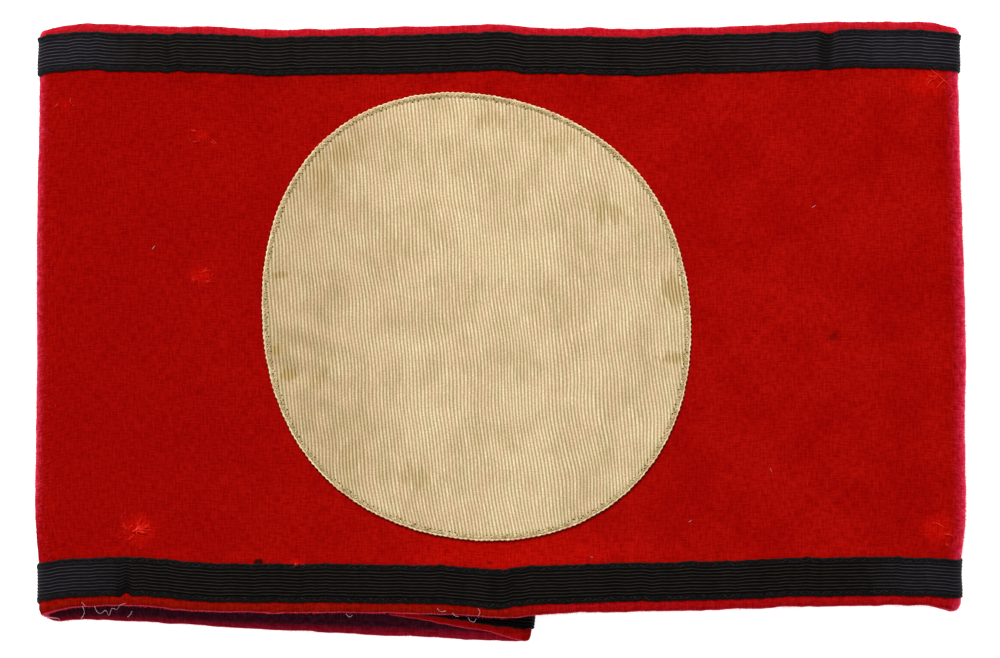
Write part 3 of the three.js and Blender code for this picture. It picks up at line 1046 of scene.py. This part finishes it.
def tuft_strand(dice, row):
    """A short strand that curls away from its tuft's middle."""
    x, y = row["x"] + dice.gauss(0, 0.16), row["y"] + dice.gauss(0, 0.16)
    heading = row["heading"] + dice.uniform(-1, 1) * row["spread"]
    length, turn = row["length"] * dice.uniform(0.45, 1.0), dice.uniform(-45, 45)
    strand = []
    for k in range(6):
        t = k / 5
        lift = 0.1 + 0.35 * math.sin(2.4 * t)
        strand.append((on_front(x, y, WOOL_OUTER + lift), row["thick"] * (1 - 0.4 * t)))
        angle = math.radians(heading + turn * t)
        x, y = x + math.cos(angle) * length / 5, y + math.sin(angle) * length / 5
    return strand


def smooth_strand(points, lift, thick):
    """A strand through a few points in the photograph's scale, rounded between them."""
    rows = [{"x": k, "along": x, "up": y} for k, (x, y) in enumerate(points)]
    strand = []
    for k in range(5 * (len(points) - 1) + 1):
        x, y = between(rows, k / 5, "along"), between(rows, k / 5, "up")
        strand.append((on_front(x, y, WOOL_OUTER + lift), thick))
    return strand


def make_tufts():
    dice = random.Random(23)
    strands = [tuft_strand(dice, row) for row in TUFTS for _ in range(row["strands"])]
    strands += [smooth_strand(points, 0.3, 0.65) for points in LONG_THREADS]
    return strands_to_mesh("loose_threads", strands, 0.13)


def make_fibres():
    strands = [smooth_strand(points, 0.12, 1.0) for points in PALE_FIBRES]
    return strands_to_mesh("pale_fibres", strands, 0.075)


tufts = make_tufts()
fibres = make_fibres()

# %% [markdown]
# ## The nap
# Felted wool has a raised nap, and it shows most where the cloth turns away: along the two side folds
# and the raw edges a soft pinkish fuzz stands off the outline. It is made of thousands of very short
# fibres, each with a few faces, that start in the wool and lean at random.

# %% Nap fibres
NAP = {"thick": 0.05, "short": 0.2, "long": 0.65, "on_a_fold": 2700}
EDGE_NAP = (("left_back", 1100), ("left_fold", 120), ("front", 2200), ("right_fold", 120))


def nap_strand(dice, way, across, offset, outwards):
    step = step_at(way)
    root = lay(step, across, offset)
    face = Vector((step.out[0], 0.0, step.out[1]))
    side = Vector((-step.out[1], 0.0, step.out[0]))
    stray = side * dice.uniform(-0.9, 0.9) + Vector((0, 1, 0)) * dice.uniform(-0.9, 0.9)
    aim = (face * dice.uniform(0.15, 0.8) + outwards * dice.uniform(0.4, 1.0) + stray).normalized()
    length = dice.uniform(NAP["short"], NAP["long"]) * MM
    return [(root - aim * length * 0.2, 1.0), (root + aim * length, 0.3)]


def make_nap():
    dice = random.Random(47)
    strands = []
    bare = (BOTTOM_MARGIN + RIBBON_WIDTH, STRIP_HEIGHT - TOP_MARGIN - RIBBON_WIDTH)
    for name in ("left_fold", "right_fold"):
        start, end = SPANS[name]
        for _ in range(NAP["on_a_fold"]):
            across = dice.uniform(*bare)
            way = lerp(start, end, dice.triangular(0.1, 0.9, 0.5))
            strands.append(nap_strand(dice, way, across, WOOL_OUTER, Vector((0, 0, 0))))
    for name, count in EDGE_NAP:
        start, end = SPANS[name]
        for upper in (False, True):
            across = STRIP_HEIGHT - 0.05 if upper else 0.05
            outwards = Vector((0, 1 if upper else -1, 0))
            for _ in range(count):
                level = dice.uniform(WOOL_INNER + 0.2, WOOL_OUTER - 0.2)
                strands.append(nap_strand(dice, dice.uniform(start, end), across, level, outwards))
    return strands_to_mesh("wool_nap", strands, NAP["thick"])


nap = make_nap()

# %% [markdown]
# ## Shader sums
# A material is a small sum over the surface. Two classes keep it readable: a Wire is a socket that can
# be added and multiplied like a number, and a Finish is one material with one way of adding a node.

# %% Wires and finishes
class Wire:
    """A node's output that can stand in a Python expression."""

    def __init__(self, finish, socket):
        self.finish, self.socket = finish, socket

    def math(self, operation, a, b=0.0):
        return self.finish.add("ShaderNodeMath", {"operation": operation}, {0: a, 1: b})

    def __add__(self, other):
        return self.math("ADD", self, other)

    def __radd__(self, other):
        return self.math("ADD", other, self)

    def __sub__(self, other):
        return self.math("SUBTRACT", self, other)

    def __rsub__(self, other):
        return self.math("SUBTRACT", other, self)

    def __mul__(self, other):
        return self.math("MULTIPLY", self, other)

    def __rmul__(self, other):
        return self.math("MULTIPLY", other, self)

    def __truediv__(self, other):
        return self.math("DIVIDE", self, other)

    def __pow__(self, other):
        return self.math("POWER", self, other)

    def wave(self):
        """The cosine of the wire taken as a number of turns, from 0 to 1."""
        return 0.5 + 0.5 * self.math("COSINE", self * math.tau)

    def ramp(self, low, high):
        """0 below low, 1 above high and smooth in between."""
        return self.finish.add(
            "ShaderNodeMapRange", {"interpolation_type": "SMOOTHSTEP"},
            {"Value": self, "From Min": low, "From Max": high},
        )


class Finish:
    """One material, built node by node."""

    def __init__(self, name, **fixed):
        self.material = bpy.data.materials.new(name)
        self.material.use_nodes = True
        self.tree = self.material.node_tree
        self.shader = self.tree.nodes["Principled BSDF"]
        for socket, value in fixed.items():
            self.shader.inputs[socket.replace("_", " ")].default_value = value

    def plug(self, socket, value):
        if isinstance(value, Wire):
            self.tree.links.new(value.socket, socket)
        else:
            socket.default_value = value

    def add(self, kind, settings=None, sockets=None, output=0):
        node = self.tree.nodes.new(kind)
        for key, value in (settings or {}).items():
            setattr(node, key, value)
        for key, value in (sockets or {}).items():
            self.plug(node.inputs[key], value)
        return Wire(self, node.outputs[output])

    def mark(self, name):
        """A point attribute of the piece."""
        return self.add("ShaderNodeAttribute", {"attribute_name": name}, output="Fac")

    def parts(self, vector):
        """The x and the y of a vector."""
        x = self.add("ShaderNodeSeparateXYZ", sockets={0: vector})
        return x, Wire(self, x.socket.node.outputs["Y"])

    def cloth(self):
        """The cloth's own two directions, from its UV map, as (along, across, both as a vector)."""
        both = self.add("ShaderNodeUVMap", {"uv_map": "cloth"})
        return (*self.parts(both), both)

    def place(self):
        return self.add("ShaderNodeTexCoord", output="Object")

    def eastward(self, start, end):
        """0 left of one place along the band and 1 right of another, both in millimetres."""
        return self.parts(self.place())[0].ramp(start * MM, end * MM)

    def upward(self):
        """0 on the lower half of the band and 1 on the upper half."""
        return self.parts(self.place())[1].ramp(-5 * MM, 5 * MM)

    def side_reach(self):
        """How far a point is from the middle of the band, along it, in millimetres."""
        x = self.parts(self.place())[0]
        return x.math("ABSOLUTE", x) / MM

    def away_from(self, x, y):
        """The way from a place in the photograph's scale to each point, in metres."""
        spot = {0: self.place(), 1: in_frame(x, y, 0)}
        return self.add("ShaderNodeVectorMath", {"operation": "SUBTRACT"}, spot)

    def scaled(self, vector, factors):
        return self.add("ShaderNodeVectorMath", {"operation": "MULTIPLY"}, {0: vector, 1: factors})

    def millimetres(self):
        return self.scaled(self.place(), (1 / MM, 1 / MM, 1 / MM))

    def noise(self, vector, scale, detail=2.0, roughness=0.5):
        return self.add(
            "ShaderNodeTexNoise", {"noise_dimensions": "3D"},
            {"Vector": vector, "Scale": scale, "Detail": detail, "Roughness": roughness},
        )

    def streaks(self, vector, along, across, detail=2.0, roughness=0.5):
        """Noise that is drawn out or pressed together in each of the cloth's directions."""
        return self.noise(self.scaled(vector, (along, across, 1.0)), 1.0, detail, roughness)

    def mix(self, factor, a, b, blend="MIX"):
        node = self.tree.nodes.new("ShaderNodeMix")
        node.data_type, node.blend_type = "RGBA", blend
        self.plug(node.inputs[0], factor)
        self.plug(node.inputs[6], a)
        self.plug(node.inputs[7], b)
        return Wire(self, node.outputs[2])

    def shaded(self, colour, factor, low, high):
        """A colour times one shade where the factor is 0 and times another where it is 1."""
        return self.mix(1.0, colour, self.mix(factor, (*low, 1.0), (*high, 1.0)), "MULTIPLY")

    def spots(self, rows, warp):
        """A mask of soft spots at places given in millimetres, with ragged outlines."""
        total = 0.0
        for row in rows:
            reach = (1 / (row["wide"] * MM), 1 / (row["high"] * MM), 0.0)
            away = self.scaled(self.away_from(row["x"], row["y"]), reach)
            far = self.add("ShaderNodeVectorMath", {"operation": "LENGTH"}, {0: away}, output="Value")
            total = (1.0 - (far + (warp - 0.5) * 1.3).ramp(0.25, 1.15)) * row["strong"] + total
        return total

    def use(self, colour, height, distance, strength):
        """Plugs in the colour and the height of the cloth's relief, whose distance is in millimetres."""
        relief = {"Height": height, "Distance": distance * MM, "Strength": strength}
        self.plug(self.shader.inputs["Base Color"], colour)
        self.plug(self.shader.inputs["Normal"], self.add("ShaderNodeBump", sockets=relief))
        return self.material


def rgb(red, green, blue):
    """A colour as a picture shows it, from 0 to 255, turned into the linear value that nodes use."""
    def linear(value):
        share = value / 255
        return share / 12.92 if share <= 0.04045 else ((share + 0.055) / 1.055) ** 2.4
    return linear(red), linear(green), linear(blue), 1.0


# %% [markdown]
# ## The red wool's finish
# The wool shows a faint weave under its felt, a mottled red that is browner in places, and lighter fibre
# ends all over. It is pinker and paler at the raw edges and on the upper half of the side folds, partly
# from the raised nap and partly as painted rim light. Its margins, its turned-back end and a few spots
# are painted lighter or darker as painted light and shade, and the inside of the mouth is painted dark
# as painted shade.

# %% Red wool
WOOL_SPOTS = table(
    "x y wide high strong",
    (68.2, -3.9, 1.6, 1.3, 0.45), (-49.6, -50.3, 1.3, 0.9, 1.4), (-2.2, -50.4, 1.0, 0.6, 0.55),
)
# Spots where the red is painted lighter as painted highlight: round the tufts and in a few other places.
WOOL_PAINTED_HIGHLIGHTS = table(
    "x y wide high strong",
    (-89.3, 43.5, 2.0, 1.4, 0.6), (-61.6, 37.3, 2.4, 1.6, 0.6), (-61.6, 8.6, 3.0, 2.2, 0.9),
    (-74.0, -43.6, 4.6, 4.0, 0.9), (-42.4, -50.8, 3.4, 1.6, 0.9), (87.6, 48.0, 5.5, 3.6, 1.0),
    (89.6, -43.4, 4.4, 4.0, 0.9), (0.0, -60.6, 2.6, 1.2, 1.0), (4.0, -47.6, 34.0, 7.0, 0.6),
)


def seam_shade(finish):
    """1 in the shaded groove just outside the patch's outline, worked out from its formula."""
    x, y = finish.parts(finish.away_from(*PATCH_CENTRE))
    angle = x.math("ARCTAN2", y, x)
    outside = (x * x + y * y) ** 0.5 / MM - PATCH_RADIUS
    for row in PATCH_DRAWN:
        outside = outside - angle.math("COSINE", angle * float(row["turns"]) - row["turned"]) * row["by"]
    return 1.0 - outside.ramp(0.0, 0.4)


def red_wool():
    finish = Finish("red_wool", Roughness=0.95, Specular_IOR_Level=0.0)
    mix = finish.mix
    along, across, cloth = finish.cloth()
    felt = finish.noise(cloth, 1.1, 4.0, 0.7)
    grain = finish.noise(cloth, 3.4, 2.0, 0.6)
    patchy = finish.noise(cloth, 0.07, 4.0, 0.6)
    soft = finish.noise(cloth, 0.9, 2.0)
    tangle = finish.noise(cloth, 1.5, 3.0, 0.6)
    stray = finish.noise(cloth, 0.8, 3.0, 0.6)
    warp = (along / 0.70 + stray * 1.8).wave()
    weft = (across / 0.58 + stray * 1.8).wave()
    weave = (warp * 0.5 + weft * 0.5) * felt.ramp(0.3, 0.6)
    lengthways = finish.streaks(cloth, 0.55, 2.9, 2.0, 0.6)
    upright = finish.streaks(cloth, 2.6, 0.5, 2.0, 0.6)
    threads = lengthways * 0.5 + upright * 0.5
    red = mix(patchy.ramp(0.32, 0.68), rgb(146, 4, 2), rgb(158, 7, 3))
    red = mix((1.0 - finish.eastward(-85, 5)) * 0.8, red, rgb(142, 4, 2))
    # Painted highlight at the listed spots.
    red = mix(finish.spots(WOOL_PAINTED_HIGHLIGHTS, felt).ramp(0.0, 1.0) * 0.5, red, rgb(190, 10, 3))
    red = mix(seam_shade(finish) * 0.75, red, rgb(52, 2, 1))
    # Painted shade: the bare bottom margin is painted a darker brown-red on the left and a pinker red
    # right of the middle.
    low_margin = 1.0 - across.ramp(1.4, 2.1)
    right_side = finish.eastward(0, 12)
    red = mix(low_margin * 0.75, red, mix(right_side, rgb(129, 12, 3), rgb(158, 8, 11)))
    # Painted light: the turned-back end, which lies in the front's shadow, is painted a brighter red.
    turned = 1.0 - along.ramp(SPANS["turned_end"][1] - 1.0, SPANS["turned_end"][1] + 1.0)
    red = mix(turned * 0.8, red, rgb(196, 12, 12))
    # Painted light: the bare top margin is painted pinker and lighter.
    high_margin = across.ramp(STRIP_HEIGHT - 2.0, STRIP_HEIGHT - 1.2)
    red = mix(high_margin * (0.3 + soft * 0.4), red, rgb(188, 20, 32))
    # The upper half of each side fold is painted pink, partly the nap's own colour and partly painted
    # rim light; the right side is painted brighter, where the lamp leaves it darker, and its very edge
    # gets a painted highlight.
    fold = finish.mark("fold")
    dull_nap = mix(right_side, rgb(198, 22, 36), rgb(232, 20, 46))
    bright_nap = mix(right_side, rgb(226, 44, 66), rgb(251, 44, 76))
    painted_highlight_and_wear = fold ** 2.2 + (tangle - 0.5) * 1.3 * fold
    red = mix(painted_highlight_and_wear, red, mix(soft.ramp(0.35, 0.65), dull_nap, bright_nap))
    rim_light_and_rubbing = mix(right_side, rgb(226, 79, 95), rgb(252, 94, 108))
    red = mix(fold ** 10.0 * 0.6, red, rim_light_and_rubbing)
    # The raw edges are painted pink, partly the nap's own colour and partly painted rim light.
    cut = (finish.mark("raw_edge") - 0.85).ramp(0.0, 0.15) * (1.0 - high_margin * 0.5)
    red = mix(cut * (0.3 + tangle * 0.9), red, rgb(220, 56, 76))
    # Painted shade: the inside of the mouth is painted dark, and a lighter red towards its raw lip and
    # towards the right, where less of it lies under the front.
    dark = mix(felt.ramp(0.3, 0.8), rgb(64, 20, 30), rgb(96, 24, 34))
    lip = across + (tangle - 0.5) * 1.2 - finish.eastward(-95, 5) * 0.9
    inside = mix(lip.ramp(0.0, 1.3), rgb(174, 20, 38), dark)
    colour = mix(finish.mark("inside"), red, inside)
    colour = finish.shaded(colour, threads.ramp(0.34, 0.64), (0.8, 0.55, 0.55), (1.17, 2.2, 2.6))
    colour = finish.shaded(colour, weave.ramp(0.2, 0.95), (0.95, 0.9, 0.9), (1.08, 1.4, 1.4))
    colour = mix(grain.ramp(0.6, 0.76) * 0.22, colour, rgb(184, 28, 16))
    colour = mix(finish.spots(WOOL_SPOTS, felt).ramp(0.0, 1.0), colour, rgb(56, 8, 4))
    height = threads * 0.8 + weave * 0.3 + felt * 0.25 + grain * 0.3
    return finish.use(colour, height, 0.09, 0.6)


# %% [markdown]
# ## The ribbon's finish
# The ribbon is black with a faint sheen: the tops of its ribs are painted grey as a painted highlight,
# the grooves are darkest, and the ends are painted a bluer grey as a painted sheen. The lower ribbon and
# the dips of its kinks are painted darker as painted shade. Fine threads wrap each rib, which the bump
# gives.
# Stitches break the ribs up near the edges.

# %% Black ribbon
def black_ribbon():
    finish = Finish("black_ribbon", Roughness=0.55, Specular_IOR_Level=0.02)
    mix = finish.mix
    along, ribs, cloth = finish.cloth()
    crest = 1.0 - ribs.wave()
    stray = finish.streaks(cloth, 0.5, 2.0, 3.0)
    fine = finish.streaks(cloth, 4.0, 3.0)
    pinched = finish.mark("pinched")
    middle = ribs.ramp(0.6, 2.2) * (1.0 - ribs.ramp(RIB_COUNT - 2.2, RIB_COUNT - 0.6))
    lit = crest ** 3.0 * (0.3 + stray * 0.9) * (1.0 - pinched * 0.7) * (0.3 + middle * 0.7)
    # Painted sheen: a lighter, bluer black towards both ends and at the upper ribbon's right.
    painted_sheen_near_ends = finish.side_reach().ramp(66.0, 94.0)
    painted_sheen_near_ends = (painted_sheen_near_ends + finish.upward() * finish.eastward(30, 60) * 0.45).ramp(0.0, 1.0)
    black = mix(painted_sheen_near_ends, rgb(9, 7, 6), rgb(19, 17, 22))
    # Painted highlight: the lit tops of the ribs are painted grey.
    painted_highlight_and_wear = mix(painted_sheen_near_ends, rgb(58, 52, 48), rgb(74, 70, 76))
    black = mix(lit.ramp(0.15, 1.0), black, painted_highlight_and_wear)
    tinge = mix(stray.ramp(0.4, 0.6), rgb(17, 20, 20), rgb(27, 19, 26))
    black = mix((1.0 - middle) * 0.5, black, tinge)
    black = mix(fine.ramp(0.5, 0.72) * (1.0 - middle) * 0.5, black, rgb(46, 47, 43))
    edge_cord = 1.0 - ribs.ramp(0.15, 0.5) * (1.0 - ribs.ramp(RIB_COUNT - 0.5, RIB_COUNT - 0.15))
    black = mix(edge_cord * stray.ramp(0.3, 0.6) * 0.4, black, rgb(48, 48, 40))
    # Painted shade in the dips of the kinks.
    black = mix(finish.mark("dipped").ramp(0.03, 0.16) * 0.7, black, rgb(8, 6, 6))
    # Painted shade: the lower ribbon is painted darker.
    black = mix((1.0 - finish.upward()) * 0.4, black, (0.35, 0.34, 0.28, 1.0), "MULTIPLY")
    black = mix(finish.mark("side"), black, rgb(12, 9, 10))
    wrap = (along / 0.22).wave()
    height = wrap * 0.25 * crest + fine * 0.4
    return finish.use(black, height, 0.04, 0.6)


# %% [markdown]
# ## The patch's finish
# The patch has pale rib tops with grooves between them that are painted tan as painted shade, blotches
# of yellow-brown staining, darker in the grooves, and an olive cast along the stitched hem. Each rib
# takes a stain a little further or less far than the next.

# %% Patch cloth
PATCH_STAINS = table(
    "x y wide high strong",
    (-36.6, 28.5, 3.2, 4.2, 0.6), (-32.5, 33.6, 3.4, 3.2, 0.6), (-27.8, 36.4, 2.6, 2.6, 0.35),
    (-2.2, 40.4, 5.0, 2.4, 0.5), (12.2, 35.7, 7.0, 3.4, 0.45), (22.0, 21.3, 5.0, 3.2, 0.6),
    (35.1, 5.5, 3.4, 5.0, 0.75), (35.5, -8.4, 4.2, 1.6, 0.8), (-45.2, 8.6, 2.2, 1.0, 1.1),
    (-45.6, -6.7, 1.6, 1.3, 1.4), (-43.8, -11.8, 2.0, 1.5, 1.3), (-37.4, -12.6, 2.0, 2.2, 0.7),
    (-30.9, -28.7, 5.0, 4.0, 0.5), (-16.9, -32.8, 4.0, 3.2, 0.5),
)


def patch_cloth():
    finish = Finish("patch_cloth", Roughness=0.85, Specular_IOR_Level=0.1)
    mix = finish.mix
    ribs, _, cloth = finish.cloth()
    millimetres = finish.millimetres()
    crest = ribs.wave()
    blotch = finish.noise(millimetres, 0.09, 3.0, 0.6)
    slub = finish.streaks(cloth, 1.1, 0.35, 3.0)
    fine = finish.streaks(cloth, 1.4, 3.2)
    rib_by_rib = finish.streaks(cloth, 0.75, 0.22)
    tint = finish.streaks(cloth, 0.22, 0.16, 3.0).ramp(0.36, 0.64)
    hem = finish.mark("hem")
    pale = mix(blotch.ramp(0.35, 0.65), rgb(212, 190, 148), rgb(232, 212, 172))
    pale = mix(tint * 0.6, pale, rgb(230, 201, 162))
    pale = mix(rib_by_rib.ramp(0.5, 0.7) * 0.5, pale, rgb(246, 230, 192))
    # Painted shade: the grooves between the ribs are painted tan.
    groove = mix(tint, rgb(165, 142, 99), rgb(176, 148, 112))
    groove = mix(blotch.ramp(0.4, 0.7) * 0.6, groove, rgb(190, 168, 126))
    colour = mix((crest * (0.7 + slub * 0.6)).ramp(0.1, 0.85), groove, pale)
    colour = finish.shaded(colour, fine.ramp(0.3, 0.7), (0.84, 0.83, 0.8), (1.09, 1.09, 1.08))
    colour = finish.shaded(colour, finish.eastward(-46, -10), (0.83, 0.8, 0.77), (0.98, 0.98, 0.98))
    stain = finish.spots(PATCH_STAINS, (rib_by_rib - 0.5) * 2.2 + 0.5)
    stain = (stain + blotch.ramp(0.56, 0.76) * 0.3).ramp(0.0, 1.0)
    # The stain is painted darker in the grooves, as painted shade.
    colour = mix(stain * 0.72, colour, mix(crest, rgb(112, 82, 32), rgb(198, 172, 112)))
    speckle = finish.noise(millimetres, 2.2, 2.0)
    olive = hem * speckle.ramp(0.3, 0.56) * (0.6 + finish.eastward(-30, 10) * 0.2)
    colour = mix(olive, colour, rgb(138, 120, 68))
    colour = mix(finish.mark("rim") * 0.7, colour, rgb(228, 176, 138))
    height = fine * 0.6 + slub * 0.4
    return finish.use(colour, height, 0.05, 0.7)


# %% [markdown]
# ## The threads' finishes
# Threads are too thin to show a weave, so each kind gets its own colour with a little variation from
# place to place, which keeps a row of stitches from looking printed.

# %% Threads, holes and nap
def thread_finish(name, dark, light, roughness, scale):
    finish = Finish(name, Roughness=roughness, Specular_IOR_Level=0.05)
    varied = finish.noise(finish.millimetres(), scale, 2.0)
    twist = finish.noise(finish.millimetres(), 9.0, 1.0)
    colour = finish.mix(varied.ramp(0.3, 0.7), rgb(*dark), rgb(*light))
    return finish.use(colour, twist, 0.02, 0.5)


def dress(piece, material):
    piece.data.materials.clear()
    piece.data.materials.append(material)
    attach(piece, "root")


THREADS = table(
    "piece slot name dark light roughness scale",
    (patch_stitches, "patch_cloth", "hem_thread", (158, 144, 98), (230, 212, 166), 0.7, 1.0),
    (patch_rim, "patch_cloth", "rim_cord", (222, 166, 132), (240, 224, 178), 0.7, 0.7),
    # The needle holes' dark colour is painted shade.
    (needle_holes, "patch_cloth", "needle_hole", (58, 46, 14), (104, 86, 40), 0.9, 0.8),
    (ribbon_stitches, "black_ribbon", "black_thread", (10, 11, 12), (40, 41, 41), 0.6, 0.8),
    (lap_stitches, "red_wool", "lap_thread", (96, 10, 10), (150, 18, 14), 0.8, 0.8),
    (tufts, "red_wool", "loose_thread", (226, 18, 10), (255, 66, 48), 0.6, 0.8),
    (fibres, "red_wool", "pale_fibre", (170, 110, 130), (216, 190, 200), 0.6, 0.8),
    (nap, "red_wool", "nap_fibre", (180, 16, 28), (222, 54, 78), 0.9, 0.3),
)

dress(wool, red_wool())
ribbon_finish = black_ribbon()
for ribbon in ribbons.values():
    dress(ribbon, ribbon_finish)
dress(patch, patch_cloth())
for row in THREADS:
    piece, slot = row.pop("piece"), row.pop("slot")
    dress(piece, thread_finish(**row))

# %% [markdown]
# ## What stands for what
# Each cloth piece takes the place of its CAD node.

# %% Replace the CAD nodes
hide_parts("band")
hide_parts("ribbon_top")
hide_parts("ribbon_bottom")
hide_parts("disc")
STRIP_LENGTH * MM

# %% [markdown]
# ## Floor, light and camera
# The photograph is taken from straight above on a white surface, with soft light that comes a little
# more from the upper left. A wide white floor, a bright pale surround and one large soft lamp give that.

# %% Floor
FLOOR_HALF = 2.5


def make_floor():
    bm = bmesh.new()
    bmesh.ops.create_grid(bm, x_segments=1, y_segments=1, size=FLOOR_HALF)
    floor = finish_piece("floor", bm)
    white = Finish("white_surface", Roughness=0.9, Specular_IOR_Level=0.1)
    white.shader.inputs["Base Color"].default_value = (0.9, 0.9, 0.9, 1.0)
    white.shader.inputs["Emission Color"].default_value = (1.0, 1.0, 1.0, 1.0)
    white.shader.inputs["Emission Strength"].default_value = 0.8
    floor.data.materials.append(white.material)


make_floor()

# %% Light
scene = bpy.context.scene
scene.view_settings.view_transform = "Standard"
scene.view_settings.look = "None"
world = bpy.data.worlds.new("pale_surround")
scene.world = world
world.use_nodes = True
surround = world.node_tree.nodes["Background"]
surround.inputs["Color"].default_value = (1.0, 1.0, 1.0, 1.0)
surround.inputs["Strength"].default_value = 0.44


def add_lamp(name, place, size, power):
    lamp_data = bpy.data.lights.new(name, "AREA")
    lamp_data.shape = "DISK"
    lamp_data.size = size
    lamp_data.energy = power
    lamp = bpy.data.objects.new(name, lamp_data)
    lamp.location = place
    lamp.rotation_euler = (Vector((0, 0, 0)) - Vector(place)).to_track_quat("-Z", "Y").to_euler()
    scene.collection.objects.link(lamp)


add_lamp("soft_window", (-0.35, 1.25, 1.35), 0.8, 38.0)

# %% Camera
PIXEL = 0.205 * MM
PHOTO = {"wide": 1000, "high": 658, "middle_x": 500.5, "middle_y": 317}
CAMERA_HEIGHT = 1.0
FRONT_TOP = 0.0097


def add_camera():
    camera_data = bpy.data.cameras.new("camera")
    camera_data.sensor_fit = "HORIZONTAL"
    camera_data.sensor_width = 36.0
    camera_data.lens = 36.0 * CAMERA_HEIGHT / (PHOTO["wide"] * PIXEL)
    camera = bpy.data.objects.new("camera", camera_data)
    x = (PHOTO["wide"] / 2 - PHOTO["middle_x"]) * PIXEL + SHIFT_X * MM
    y = (PHOTO["middle_y"] - PHOTO["high"] / 2) * PIXEL + SHIFT_Y * MM
    camera.location = (x, y, CAMERA_HEIGHT + FRONT_TOP)
    scene.collection.objects.link(camera)
    scene.camera = camera
    print(f"Camera over {x / MM:.2f}, {y / MM:.2f} mm, lens {camera_data.lens:.1f} mm")


add_camera()
